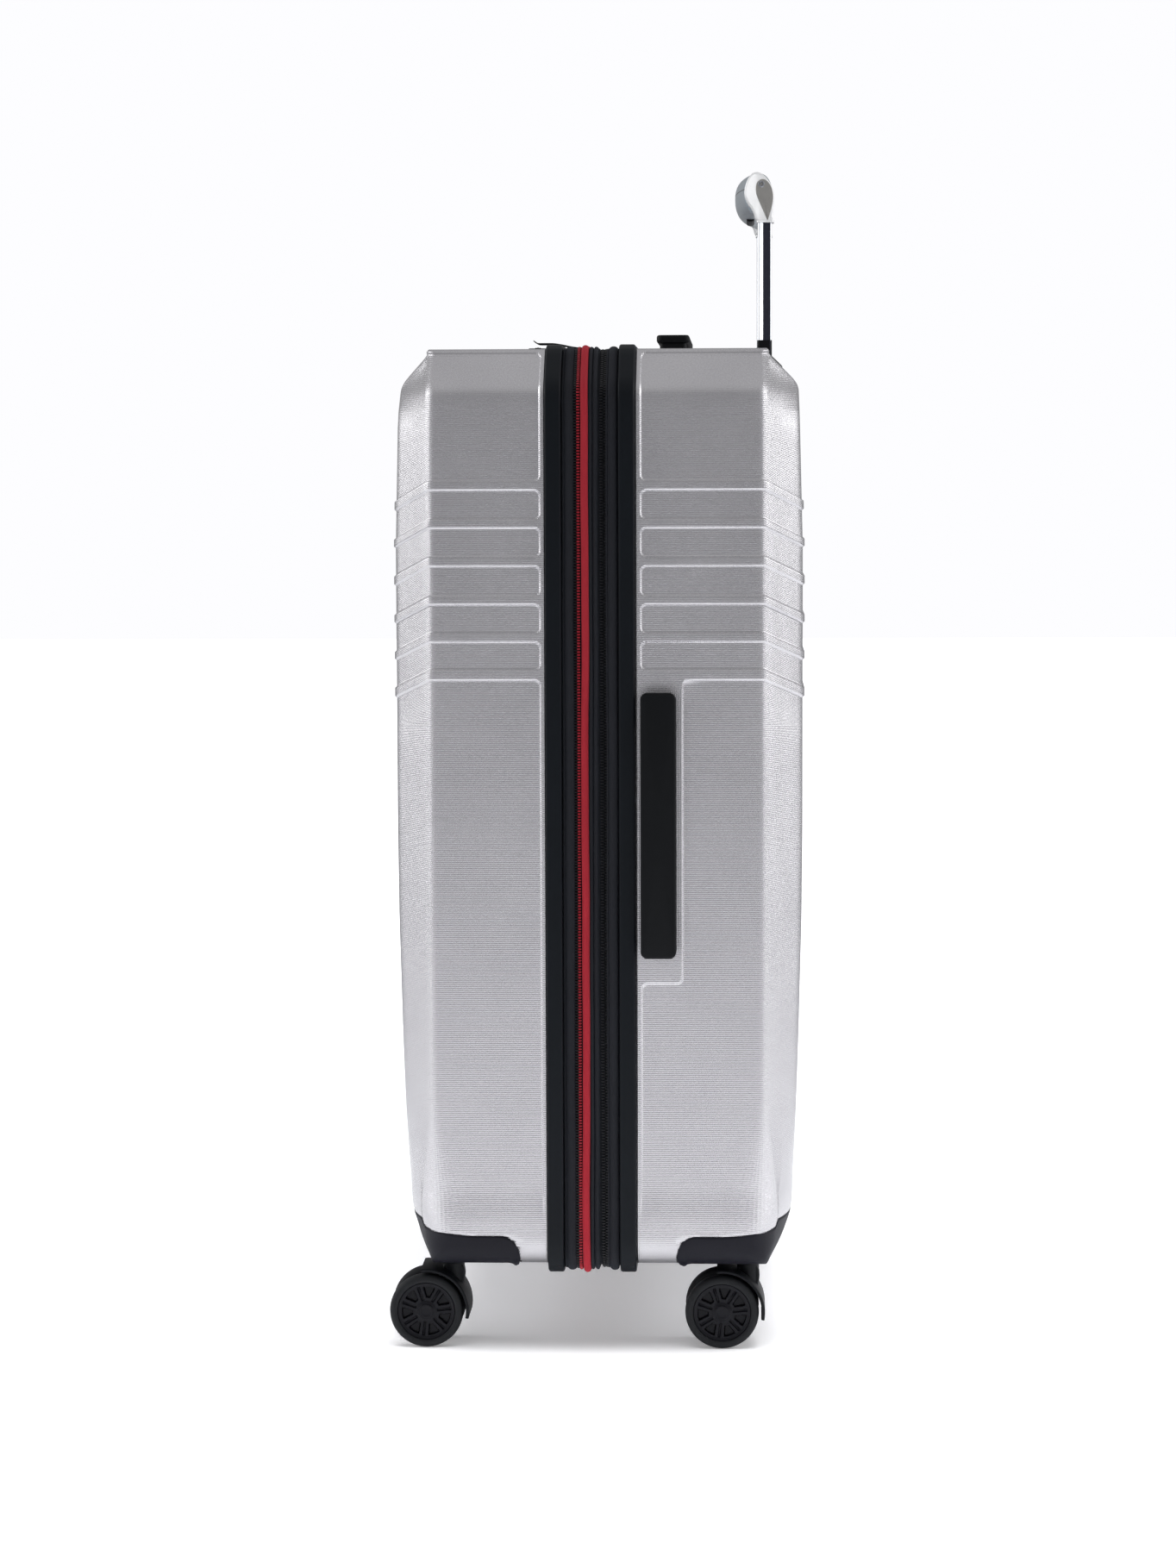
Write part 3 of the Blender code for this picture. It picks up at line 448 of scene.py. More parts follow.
def recess(s, r, border, stepped):
    """How far the wall is pressed in. The panels fade out near the floor, and the seats of the wheel
    housings are pressed in instead."""
    distance = panel_distance(s, r, border, stepped)
    pressed = PANEL_DEPTH * smooth(-0.5, 0.5, -distance / PANEL_WALL) * smooth(100, 128, r)
    y_out = np.where(r < BOTTOM, r - BOTTOM + BOTTOM_EDGE, BOTTOM_EDGE)
    on_face = np.where(
        s > SECOND_BEND_END, 213 * (1 - (s - SECOND_BEND_END) / (FACE_END - SECOND_BEND_END)), 213
    )
    inside = np.minimum(np.minimum(housing_line(s) - r, s - 59.5), np.minimum(y_out, on_face) - 171)
    return pressed + 2.4 * smooth(0, 1.2, inside - 0.6)


# %% [markdown]
# A bend needs close grid lines and a flat needs few, so the lines are laid out: close at each
# panel's edge, at the border beside the mouth and at the two bends of the section.

# %% The grid of a shell
def spaced(*runs):
    """Grid lines: each run is (from, to, number of steps)."""
    return np.unique(np.concatenate([np.linspace(a, b, n + 1) for a, b, n in runs]).round(4))


TRAY_ROW, TRAY_COLUMN = TOP + EDGE - 127, 91.0  # the opening for the pull handle's tray, on the top
TRAY_SLOPE_ROW, TRAY_FACE_COLUMN = 762.0, 266.0  # and where it runs over onto the slope


def wall_rows():
    """Grid lines up the wall, close together where a panel or an edge bends it."""
    near_edges = np.array([-1.2, -0.7, -0.25, 0.25, 0.7, 1.2, 2.0, 3.0, 4.2])
    rows = [
        spaced(
            (BOTTOM - BOTTOM_EDGE, 0, 4), (0, 60, 5), (60, 66, 3), (66, 108, 26), (108, 130, 6),
            (130, 278, 12)
        )
    ]
    rows += [spaced((278, 284, 4), (284, 290, 10), (290, 500, 14), (674, 734, 6), (734, 748, 8))]
    rows += [
        spaced(
            (748, TRAY_SLOPE_ROW, 4), (TRAY_SLOPE_ROW, TOP + 4, 16), (TOP + 4, TRAY_ROW, 6),
            (TRAY_ROW, TOP + EDGE, 6)
        )
    ]
    for low, high in panels[:5]:
        rows += [low + near_edges, high - near_edges, [(low + high) / 2]]
    rows += [RIBS[0][1] + near_edges, RIBS[-1][0] - near_edges]
    rows = np.sort(np.concatenate(rows))
    return rows[np.append(True, np.diff(rows) > 0.2)]


def wall_columns(mouth, border, stepped):
    """Grid lines along the wall's section, close together at the border and at both bends."""
    runs = [(mouth, border - 1.2, 2), (border - 1.2, border + 1.4, 6), (border + 1.4, border + 5.4, 6)]
    if stepped:
        runs += [
            (border + 5.4, 58, 4), (58, 61, 4), (61, 63.6, 3), (63.6, 66.4, 6), (66.4, TRAY_COLUMN, 3),
            (TRAY_COLUMN, SIDE_END, 4)
        ]
    else:
        runs += [(border + 5.4, 58, 3), (58, 61, 4), (61, SIDE_END, 9)]
    runs += [
        (SIDE_END, FIRST_BEND_END, 7), (FIRST_BEND_END, CHAMFER_END, 7), (CHAMFER_END, SECOND_BEND_END, 9)
    ]
    return spaced(
        *runs, (SECOND_BEND_END, 240, 9), (240, TRAY_FACE_COLUMN, 2), (TRAY_FACE_COLUMN, FACE_END, 7)
    )


# %% [markdown]
# One half of the wall is worked out and mirrored, and the two halves share their middle column. A
# Solidify modifier then gives the sheet its 2.5 mm. The film's pattern counts from that middle column, so
# that it runs on over the broad face without a break.


# %% The two shells
def shell_points(mouth, border, stepped, end, inset=0.0):
    """The whole wall: near side, face and far side, mirrored to the front or rear."""
    columns = wall_columns(mouth, border, stepped)
    r, s = np.meshgrid(wall_rows(), columns, indexing="ij")
    base = wall(s, r, mouth)
    normal = wall_normal(s, r, mouth)
    sides = []
    for side in (-1, 1):
        pressed = recess(s, r, border, stepped and side < 0) + inset
        points = (base - normal * pressed[..., None]) * (end, side, 1)
        pattern = np.stack([side * (FACE_END - s), r, 0 * s], axis=-1)
        order = slice(None) if side < 0 else slice(None, None, -1)
        sides.append((points[:, order], pattern[:, order]))
    points = np.concatenate([sides[0][0], sides[1][0][:, 1:]], axis=1)
    pattern = np.concatenate([sides[0][1], sides[1][1][:, 1:]], axis=1)
    if end < 0:
        points, pattern = points[:, ::-1], pattern[:, ::-1]
    return points, pattern


def make_shell(name, body, mouth, border, stepped, end, thickness=2.5):
    """A stepped shell also leaves out the faces over the pull handle's tray."""
    points, pattern = shell_points(mouth, border, stepped, end)
    skin, faces = surface(points)
    if stepped:
        s, r = FACE_END - abs(pattern[..., 0]), pattern[..., 1]
        s, r = ((a[:-1, :-1] + a[1:, 1:]) / 2 for a in (s, r))
        open_top = (r > TRAY_ROW) & (s > TRAY_COLUMN)
        open_slope = (r > TRAY_SLOPE_ROW) & (s > TRAY_FACE_COLUMN)
        faces = faces[~(open_top | open_slope).ravel()]
    corners = skin[faces]
    areas = np.linalg.norm(np.cross(corners[:, 2] - corners[:, 0], corners[:, 3] - corners[:, 1]), axis=1)
    faces = faces[areas > 0.02]  # rows beyond the top and bottom edges shrink to a line along the slope
    shell = make(
        name, body, SILVER_FILM, (skin, faces), slot="shell", sharp=50, outward=False,
        pattern=pattern.reshape(-1, 3)
    )
    thicken = shell.modifiers.new("sheet", "SOLIDIFY")
    thicken.thickness = thickness * MM
    thicken.offset = -1
    return shell


front_wall = make_shell("front_shell_wall", "front_half", FRONT_MOUTH, 42.8, False, -1)
rear_wall = make_shell("rear_shell_wall", "rear_half", REAR_MOUTH, 33.5, True, 1)
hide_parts("front_shell")
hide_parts("rear_shell")
for shell in (front_wall, rear_wall):
    print(shell.name, len(shell.data.polygons), "faces before its thickness")


# %% [markdown]
# ## The zip band
#
# Between the shells runs a soft band: a moulded rim on each shell, tape with piping, the main zip with its
# red tape, and a second zip that lets the case grow. All of them are outlines carried round the same path,
# so the path is worked out once, with its outward direction at every point.

# %% The path round the case
def around_case(step):
    """Points on the case's outline in the YZ plane about step apart, and their outward directions.
    Straight runs join six corners, each rounded; a direction is the tangent turned by a right angle."""
    t = np.linspace(0, 1, 12)[:, None]
    low = BOTTOM - 2.5  # the band hangs a little lower than the shells
    corners = np.array(
        [
            (-HALF_WIDTH, low, 21),
            (-HALF_WIDTH, TOP - 31, 7),
            (-EDGE, TOP, 7),
            (EDGE, TOP, 7),
            (HALF_WIDTH, TOP - 31, 7),
            (HALF_WIDTH, low, 21),
        ]
    )
    line = []
    for i, (y, z, radius) in enumerate(corners):
        corner = np.array([y, z])
        before, after = corners[i - 1, :2] - corner, corners[(i + 1) % 6, :2] - corner
        a = corner + before / np.linalg.norm(before) * radius
        c = corner + after / np.linalg.norm(after) * radius
        line.append(bent(t, a, corner, c))
    line = np.concatenate(line + [line[0][:1]])
    lengths = np.append(0, np.cumsum(np.linalg.norm(np.diff(line, axis=0), axis=1)))
    count = round(lengths[-1] / step)
    where = np.arange(count) * lengths[-1] / count
    path = np.stack([np.interp(where, lengths, line[:, k]) for k in (0, 1)], axis=1)
    along = np.roll(path, -1, axis=0) - np.roll(path, 1, axis=0)
    along /= np.linalg.norm(along, axis=1, keepdims=True)
    outward = np.stack([-along[:, 1], along[:, 0]], axis=1)
    return path, outward, along, where


def ring(profile, step=6.0, wave=None):
    """A closed outline of (x, out) carried round the case. wave(where) shifts it along X and outwards."""
    path, outward, along, where = around_case(step)
    shift = np.zeros((len(path), 2)) if wave is None else wave(where)
    x = profile[None, :, 0] + shift[:, :1]
    out = profile[None, :, 1] + shift[:, 1:]
    y = path[:, :1] + outward[:, :1] * out
    z = path[:, 1:] + outward[:, 1:] * out
    made = surface(np.stack([x, y, z], axis=-1), around=True, along=True)
    lengths = np.append(0, np.cumsum(np.linalg.norm(np.diff(profile, axis=0), axis=1)))
    spread = np.broadcast_to(lengths, x.shape)
    pattern = np.stack([np.broadcast_to(where[:, None], x.shape), spread, 0 * spread], axis=-1)
    return made, pattern.reshape(-1, 3)


def rounded_outline(low, high, radius, steps=5):
    """A rectangle from low to high whose corners are quarter circles, counter-clockwise."""
    angle = np.linspace(0, math.pi / 2, steps)
    radius = min(radius, (high[0] - low[0]) / 2 - 1e-3, (high[1] - low[1]) / 2 - 1e-3)
    centres = [(high[0], high[1], 0), (low[0], high[1], 1), (low[0], low[1], 2), (high[0], low[1], 3)]
    points = []
    for x, y, turn in centres:
        cx = x - radius * np.sign(x - low[0] - 1e-6)
        cy = y - radius * np.sign(y - low[1] - 1e-6)
        a = angle + turn * math.pi / 2
        points.append(np.stack([cx + radius * np.cos(a), cy + radius * np.sin(a)], axis=1))
    return np.concatenate(points)


def oval(middle, half, steps=14):
    """An ellipse about middle, counter-clockwise."""
    a = np.arange(steps) * math.tau / steps
    return np.stack([middle[0] + half[0] * np.cos(a), middle[1] + half[1] * np.sin(a)], axis=1)


# %% [markdown]
# The rims are ABS, moulded in a tool whose walls are lightly spark-eroded, so they are matt with a fine
# leathery grain. The same plastic makes the wheel housings, the forks, the trays and the lock.


# %% Navy ABS
def moulded_abs(name, dark, light, roughness, grain=0.9, depth=0.05):
    """The eroded grain shades itself, so only part of the surface's reflection gets out."""
    material, tree, principled = shader(name, IOR=1.54, Specular_IOR_Level=0.18)
    where = coordinates(tree)
    fine = noise(tree, where, grain, detail=3, roughness=0.6)
    broad = noise(tree, where, 45, detail=2)
    mixed = math_of(
        tree, "ADD", math_of(tree, "MULTIPLY", fine, 0.5), math_of(tree, "MULTIPLY", broad, 0.5)
    )
    tree.links.new(between(tree, mixed, dark, light), principled.inputs["Base Color"])
    tree.links.new(between(tree, fine, roughness - 0.07, roughness + 0.1), principled.inputs["Roughness"])
    bump(tree, principled, fine, depth)
    return material


RIM_ABS = moulded_abs("navy_abs_rim", "#080d12", "#131920", 0.42)
HOUSING_ABS = moulded_abs("navy_abs_grained", "#13131a", "#20202a", 0.5, grain=1.4, depth=0.12)
BLACK_ABS = moulded_abs("black_abs", "#0c0e12", "#17191d", 0.45)

# %% [markdown]
# Zip tape and piping are woven polyester and nylon. Their threads are about 0.5 mm apart, too fine to
# show, so the weave is drawn at 1.2 mm. It follows the piece: one direction runs along the band and the
# other across it.


# %% Woven tape
def woven_tape(name, dark, light, sheen_tint, pitch=1.2, depth=0.16):
    """A twill: threads rise as sin(v) sin(u + v / 2), so each row is shifted half a thread. The colour is a
    random tone, painted lighter where threads rise and darker between them: painted light and shade.
    """
    material, tree, principled = shader(
        name, Roughness=0.85, Sheen_Weight=0.25, Sheen_Roughness=0.5, Sheen_Tint=sheen_tint, IOR=1.5
    )
    where = coordinates(tree, "pattern")
    axes = node(tree, "ShaderNodeSeparateXYZ", {}, {0: where}).outputs
    warp = math_of(tree, "SINE", math_of(tree, "MULTIPLY", axes[1], math.tau / pitch))
    diagonal = math_of(tree, "ADD", axes[0], math_of(tree, "MULTIPLY", axes[1], 0.5))
    weft = math_of(tree, "SINE", math_of(tree, "MULTIPLY", diagonal, math.tau / pitch))
    weave = math_of(tree, "MULTIPLY_ADD", math_of(tree, "MULTIPLY", warp, weft), 0.5)
    fuzz = noise(tree, where, 0.8, detail=3, roughness=0.7, metres=False)
    worn = noise(tree, where, 35, detail=2, metres=False)
    mixed = math_of(tree, "ADD", math_of(tree, "MULTIPLY", fuzz, 0.6), math_of(tree, "MULTIPLY", worn, 0.4))
    # painted light and shade: the thread tops are painted lighter and the hollows between them darker
    mixed = math_of(tree, "ADD", mixed, math_of(tree, "MULTIPLY", weave, 0.25), clamp=True)
    tree.links.new(between(tree, mixed, dark, light), principled.inputs["Base Color"])
    bump(tree, principled, math_of(tree, "ADD", weave, math_of(tree, "MULTIPLY", fuzz, 0.5)), depth)
    return material


NAVY_TAPE = woven_tape("navy_nylon_tape", "#0a0c12", "#1d2028", "#5a6478")
RED_TAPE = woven_tape("red_polyester_tape", "#a31525", "#c92a3a", "#e06070")

# %% [markdown]
# The rims are rounded bars with a slight crown. The piping is a cord wrapped in tape, so its outline is
# an oval standing on a flat strip.

# %% Rims
FRONT_RIM = (-39.0, -26.5)
REAR_RIM = (16.5, 29.0)


def rim_outline(low, high):
    """A bar 9.5 mm deep that stands 3.5 mm proud, with rounded edges and a slight crown."""
    outline = rounded_outline((low, -6.0), (high, 3.3), 1.7, 6)
    across = (outline[:, 0] - (low + high) / 2) / (high - low) * 2
    crown = np.where(outline[:, 1] > 0, 0.2 * (1 - across**2), 0)
    return outline + np.stack([0 * crown, crown], axis=1)


def make_ring(name, body, material, profiles, slot, replaces=(), step=6.0, wave=None, sharp=40):
    """One piece from closed outlines of (x, out) carried round the case."""
    made = [ring(profile, step, wave) for profile in profiles]
    pattern = np.concatenate([m[1] for m in made])
    return make(
        name, body, material, *[m[0] for m in made], slot=slot, replaces=replaces, sharp=sharp,
        pattern=pattern
    )


make_ring("front_rim", "front_half", RIM_ABS, [rim_outline(*FRONT_RIM)], "rim", ["front_frame"])
make_ring("rear_rim", "rear_half", RIM_ABS, [rim_outline(*REAR_RIM)], "rim", ["rear_frame"])


# %% [markdown]
# Cloth parts never lie quite straight, so the tapes and the piping also wander by a fraction of a
# millimetre as they go round.


# %% Tape and piping
def strip(low, high, out, thick=0.9):
    """A flat strip of tape with soft edges."""
    return rounded_outline((low, out - thick), (high, out), 0.4, 3)


def slack(amount, seed):
    """Fabric is never quite straight: the sum of three slow waves."""
    phases = np.random.default_rng(seed).uniform(0, math.tau, (3, 2))

    def wave(where):
        lengths = np.array([310.0, 173.0, 91.0])
        angle = where[:, None, None] / lengths[None, :, None] * math.tau + phases[None]
        return (np.sin(angle) * np.array([1, 0.6, 0.3])[None, :, None]).sum(axis=1) * amount

    return wave


front_fabric = [
    strip(-26.4, -15.6, -1.6), oval((-20.7, -0.6), (3.6, 2.5)), oval((-25.0, -1.2), (1.1, 1.4), 10)
]
make_ring(
    "front_tape_and_piping", "front_half", NAVY_TAPE, front_fabric, "zip_fabric", ["front_zip_tape"], 5,
    slack(0.15, 3)
)
rear_fabric = [strip(6.3, 16.4, -1.6), oval((12.2, -0.5), (3.5, 2.5)), oval((8.0, -1.2), (1.0, 1.3), 10)]
make_ring(
    "rear_tape_and_piping", "rear_half", NAVY_TAPE, rear_fabric, "zip_fabric", ["rear_zip_tape"], 5,
    slack(0.15, 4)
)
ring_fabric = [
    strip(-13.6, 4.6, -2.2, 1.4), oval((-4.6, -0.6), (1.7, 2.2), 12), oval((-0.9, -0.6), (1.8, 2.3), 12)
]
make_ring("middle_tape_and_piping", "zip_band", NAVY_TAPE, ring_fabric, "zip_fabric", [], 5, slack(0.15, 5))
make_ring(
    "red_rolled_tape", "zip_band", RED_TAPE, [oval((-8.9, 0.5), (2.9, 3.0), 18)], "red_tape", ["zip_ring"],
    3, slack(0.3, 6)
)

# %% [markdown]
# A coil zip is a nylon wire wound flat and sewn to each tape. From outside each turn is a short rounded
# bar across the seam, half a pitch out of step with its partner. A real turn is about 1.3 mm from the
# next; here they are 2.2 mm apart, so that they show. One turn is a tube of few faces, and all of them
# are placed at once along the path.


# %% Zip coils
def coil(x_from, x_to, out, pitch, offset, thick=0.75):
    """Short bars from x_from to x_to, one each pitch along the path: middle + t * across + r * cos * along
    + r * sin * outward, with r rounded off at both ends."""
    path, outward, along, where = around_case(pitch)
    shift = offset * pitch
    path = path + along * shift
    t = np.array([0.0, 0.12, 0.5, 0.88, 1.0])
    radius = thick * np.sqrt(np.maximum(1 - (2 * t - 1) ** 4, 0.02))
    angle = np.arange(6) * math.tau / 6
    x = x_from + (x_to - x_from) * t
    rise = out + 0.35 * (1 - (2 * t - 1) ** 2)
    u = radius[:, None] * np.cos(angle) * 0.95
    v = rise[:, None] + radius[:, None] * np.sin(angle)
    yz = path[:, None, None, :] + along[:, None, None, :] * u[None, ..., None] + outward[
        :, None, None, :
    ] * v[None, ..., None]
    x = np.broadcast_to(x[None, :, None, None], yz.shape[:3] + (1,))
    points = np.concatenate([x, yz], axis=-1)
    ends = points.mean(axis=2, keepdims=True)
    points = np.concatenate(
        [
            np.broadcast_to(ends[:, :1], points[:, :1].shape), points,
            np.broadcast_to(ends[:, -1:], points[:, :1].shape)
        ],
        axis=1,
    )
    count, rows, columns = points.shape[:3]
    one = surface(np.zeros((rows, columns, 3)), around=True)[1]
    faces = one[None] + (np.arange(count) * rows * columns)[:, None, None]
    return points.reshape(-1, 3), faces.reshape(-1, 4)


def nylon_coil(name, dark, light):
    """Extruded nylon wire: smooth and a little glossy."""
    material, tree, principled = shader(name, IOR=1.53)
    where = coordinates(tree)
    lumps = noise(tree, where, 3.0, detail=2)
    tree.links.new(between(tree, lumps, dark, light), principled.inputs["Base Color"])
    tree.links.new(between(tree, lumps, 0.28, 0.42), principled.inputs["Roughness"])
    bump(tree, principled, lumps, 0.05)
    return material


BLACK_COIL = nylon_coil("black_nylon_coil", "#0b0c10", "#191b20")
RED_COIL = nylon_coil("red_nylon_coil", "#a51626", "#d23a48")
make("main_coil_front", "front_half", BLACK_COIL, coil(-17.2, -14.2, -0.2, 2.2, 0.0), slot="zip_fabric")
make("main_coil_rear", "zip_band", RED_COIL, coil(-14.9, -12.3, 0.7, 2.2, 0.5), slot="red_tape")
make("expansion_coil_front", "zip_band", BLACK_COIL, coil(2.6, 5.6, -1.2, 2.2, 0.0), slot="zip_fabric")
make("expansion_coil_rear", "rear_half", BLACK_COIL, coil(5.2, 8.0, -1.2, 2.2, 0.5), slot="zip_fabric")


# %% [markdown]
# ## Wheel housings
#
# Each housing is a cup that follows the wall's own curve, so it is that same function again, over its
# corner only, lifted by 0.5 mm and rolled down into the wall's seat at its edge. Its inner end has a small
# lip under the case.


# %% Housings
def housing_skin(side, end, mouth):
    """The corner of a wall between X = 60 mm and the broad face, from the floor of the case to the
    housing's line. Lift is 0.5 mm, falling to the seat over the last millimetre at every edge."""
    u = spaced((0, 0.03, 4), (0.03, 0.97, 44), (0.97, 1, 4))
    v = spaced((0, 0.03, 3), (0.03, 0.965, 30), (0.965, 1, 5))
    v, u = np.meshgrid(v, u, indexing="ij")
    s = 60.5 + u * (226.0 - 60.5)
    low = np.full(s.shape, BOTTOM - BOTTOM_EDGE + 172)
    r = low + v * (housing_line(s) - 0.4 - low)
    edge = np.minimum(np.minimum(u, 1 - u) * 166, np.minimum(v, 1 - v) * 95)
    roll = np.sqrt(np.clip(edge / 1.6, 0, 1) * (2 - np.clip(edge / 1.6, 0, 1)))
    lip = 2.4 * (1 - smooth(63.5, 67, s)) * (1 - smooth(62, 76, r)) * smooth(0, 2, edge)
    base, normal = wall(s, r, mouth), wall_normal(s, r, mouth)
    turn = np.array([end, side, 1])
    outer = (base + normal * (-2.3 + 2.8 * roll + lip)[..., None]) * turn
    inner = (base - normal * 2.35) * turn
    inner[0], inner[-1], inner[:, 0], inner[:, -1] = outer[0], outer[-1], outer[:, 0], outer[:, -1]
    return surface(outer), surface(inner)


SIDES = {"near": -1, "far": 1}
ENDS = {"front": (-1, FRONT_MOUTH), "rear": (1, REAR_MOUTH)}
for end_name, (end, mouth) in ENDS.items():
    for side_name, side in SIDES.items():
        corner = f"{end_name}_{side_name}"
        skins = housing_skin(side, end, mouth)
        make(
            f"wheel_housing_{corner}", end_name + "_half", HOUSING_ABS, *skins, slot="black_plastic",
            sharp=60, replaces=["housing_" + corner]
        )

# %% [markdown]
# ## Casters
#
# A caster's fork is one moulding: a fender over both wheels, a web between them, and a neck that turns in
# the housing. The fender is a rounded bar carried along an arc; the web is a plate with rolled edges.


# %% Helpers for turned and moulded parts
def revolved(profile, centre, steps=48, axis=1):
    """A closed outline of (radius, along) turned about an axis through centre, parallel to Y or to Z."""
    a = np.arange(steps)[:, None] * math.tau / steps
    radius, along = profile[None, :, 0], profile[None, :, 1]
    flat = 0 * a
    one, two, three = radius * np.cos(a), radius * np.sin(a), along + flat
    points = np.stack([one, three, two] if axis == 1 else [one, two, three], axis=-1)
    return surface(points + np.array(centre), around=True, along=True)


def softened(points, times=2):
    """A closed outline with its corners cut: each pass puts two points a quarter in from each edge's ends."""
    points = np.array(points, dtype=float)
    for _ in range(times):
        after = np.roll(points, -1, axis=0)
        points = np.stack(
            [0.75 * points + 0.25 * after, 0.25 * points + 0.75 * after], axis=1
        ).reshape(-1, 2)
    return points


def drawn_in(outline, amount):
    """A closed outline moved inwards along its own normals."""
    along = np.roll(outline, -1, axis=0) - np.roll(outline, 1, axis=0)
    along /= np.maximum(np.linalg.norm(along, axis=1, keepdims=True), 1e-9)
    area = (outline[:, 0] * np.roll(outline[:, 1], -1) - np.roll(outline[:, 0], -1) * outline[:, 1]).sum()
    inward = np.stack([-along[:, 1], along[:, 0]], axis=1) * np.sign(area)
    return outline + inward * amount


def slab(outline, low, high, edge, axis=1, steps=4):
    """An outline carried from low to high along an axis, both rims rolled by a quarter circle: at angle a the
    outline is drawn in by edge (1 - cos a) and stands edge sin a from where the roll begins."""
    a = np.linspace(math.pi / 2, 0, steps + 1)
    inset = edge * (1 - np.cos(a))
    rise = edge * np.sin(a)
    levels = [(i, low + edge - k) for i, k in zip(inset, rise)] + [
        (i, high - edge + k) for i, k in zip(inset[::-1], rise[::-1])
    ]
    rings = []
    for draw, level in levels:
        flat = drawn_in(outline, draw)
        rings.append(np.insert(flat, axis, level, axis=1))
    return solid(np.array(rings))


def box_of(node):
    """A CAD node's lowest and highest corners in millimetres in the case's own frame."""
    return [(np.array(corner) - MIDDLE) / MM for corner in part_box(node)]


def middle_of(node):
    """The middle of a CAD node's box, in millimetres."""
    low, high = box_of(node)
    return (low + high) / 2


# %% [markdown]
# The fender covers the wheels from the front, over their top and a little way down behind. The neck's
# outline is turned about Z: a stem, a bearing race and a groove between them.


# %% Forks
def fork(centre, corner):
    """centre is the middle of the two wheels. The fork trails towards -X, so its neck is 20 mm on."""
    x, y, z = centre
    angle = np.radians(np.linspace(-10, 97, 28))
    section = rounded_outline((30.7, -22.5), (33.2, 22.5), 1.1, 4)
    radius, across = section[None, :, 0], section[None, :, 1]
    rings = np.stack(
        [
            x + radius * np.cos(angle[:, None]), y + across + 0 * angle[:, None],
            z + radius * np.sin(angle[:, None])
        ],
        axis=-1,
    )
    fender = solid(rings)
    neck_x, top = x + 20, 72.4
    web = softened(
        [
            (x - 6, z - 6), (x + 9, z - 6), (neck_x + 3, z + 2), (neck_x + 9, z + 22), (neck_x + 9, top - 14),
            (neck_x + 6, top - 8), (neck_x - 7, top - 8), (neck_x - 9, top - 16), (x + 2, z + 10),
            (x - 7, z + 5)
        ], 3
    )
    plate = slab(web, y - 6, y + 6, 1.5)
    turn = np.array(
        [
            (0.1, -30), (7.2, -30), (8.6, -27), (8.6, -9), (9.4, -8), (9.4, -6.6), (8.0, -5.6), (8.0, -3.4),
            (9.6, -2.4), (9.6, -0.6), (8.9, 0), (4.9, 0), (4.9, 12), (0.1, 12)
        ]
    )
    neck = revolved(turn, (neck_x, y, top), 32, axis=2)
    boss = revolved(
        np.array([(2.6, -9.1), (5.4, -9.1), (6.0, -8.5), (6.0, 8.5), (5.4, 9.1), (2.6, 9.1)]), (x, y, z), 32
    )
    name = "fork_" + corner
    return make(
        "moulded_" + name, "caster_" + corner, BLACK_ABS, fender, plate, neck, boss, slot="black_plastic",
        replaces=[name]
    )


# %% [markdown]
# The wheels are thermoplastic rubber tyres moulded round a nylon hub. The tyre is an outline turned about the
# axle. The hub's face is a disc whose depth is a function of radius and angle: seven windows widen
# outwards, and a slot lies halfway between each two.


# %% Tyres and hubs
def rubber(name, dark, light):
    """Thermoplastic rubber: matt, with dust and scuffs that lighten it in patches."""
    material, tree, principled = shader(name, IOR=1.5, Specular_IOR_Level=0.3)
    where = coordinates(tree)
    dust = noise(tree, where, 14, detail=4, roughness=0.7)
    fine = noise(tree, where, 0.7, detail=2)
    mixed = math_of(tree, "ADD", math_of(tree, "MULTIPLY", dust, 0.7), math_of(tree, "MULTIPLY", fine, 0.3))
    tree.links.new(between(tree, mixed, dark, light), principled.inputs["Base Color"])
    tree.links.new(between(tree, dust, 0.5, 0.72), principled.inputs["Roughness"])
    bump(tree, principled, fine, 0.04)
    return material


TYRE_RUBBER = rubber("black_tyre_rubber", "#131417", "#232528")
HUB_NYLON = moulded_abs("black_nylon_hub", "#0e0e13", "#1b1b21", 0.4, grain=1.1, depth=0.04)
WINDOWS = 7
SECTOR = math.tau / WINDOWS


# %% [markdown]
# One function says how deep the hub's face lies at a radius and an angle, and the wheel is a grid of rings
# that reads it on both sides.


# %% One wheel
def hub_depth(radius, angle):
    """How far the hub's face is sunk below the tyre's side, in millimetres."""
    sector = (angle - math.radians(83) + SECTOR / 2) % SECTOR - SECTOR / 2
    across = radius * np.sin(sector)
    half = np.interp(radius, [10.5, 18.6], [1.2, 4.3])
    window = np.minimum(np.minimum(half - abs(across), radius - 10.8), 18.8 - radius)
    sector = (angle - math.radians(83)) % SECTOR - SECTOR / 2
    across = radius * np.sin(sector)
    slot = np.minimum(np.minimum(0.8 - abs(across), radius - 8.5), 19.5 - radius)
    dish = 0.9 + 0.8 * smooth(6.2, 8.0, radius) * (1 - smooth(20.0, 21.6, radius))
    cap = -0.9 * (1 - smooth(5.3, 5.9, radius)) + 0.35 * (1 - smooth(3.4, 3.8, radius))
    return dish + cap + 6.5 * smooth(-0.35, 0.25, window) + 1.6 * smooth(-0.3, 0.3, slot)


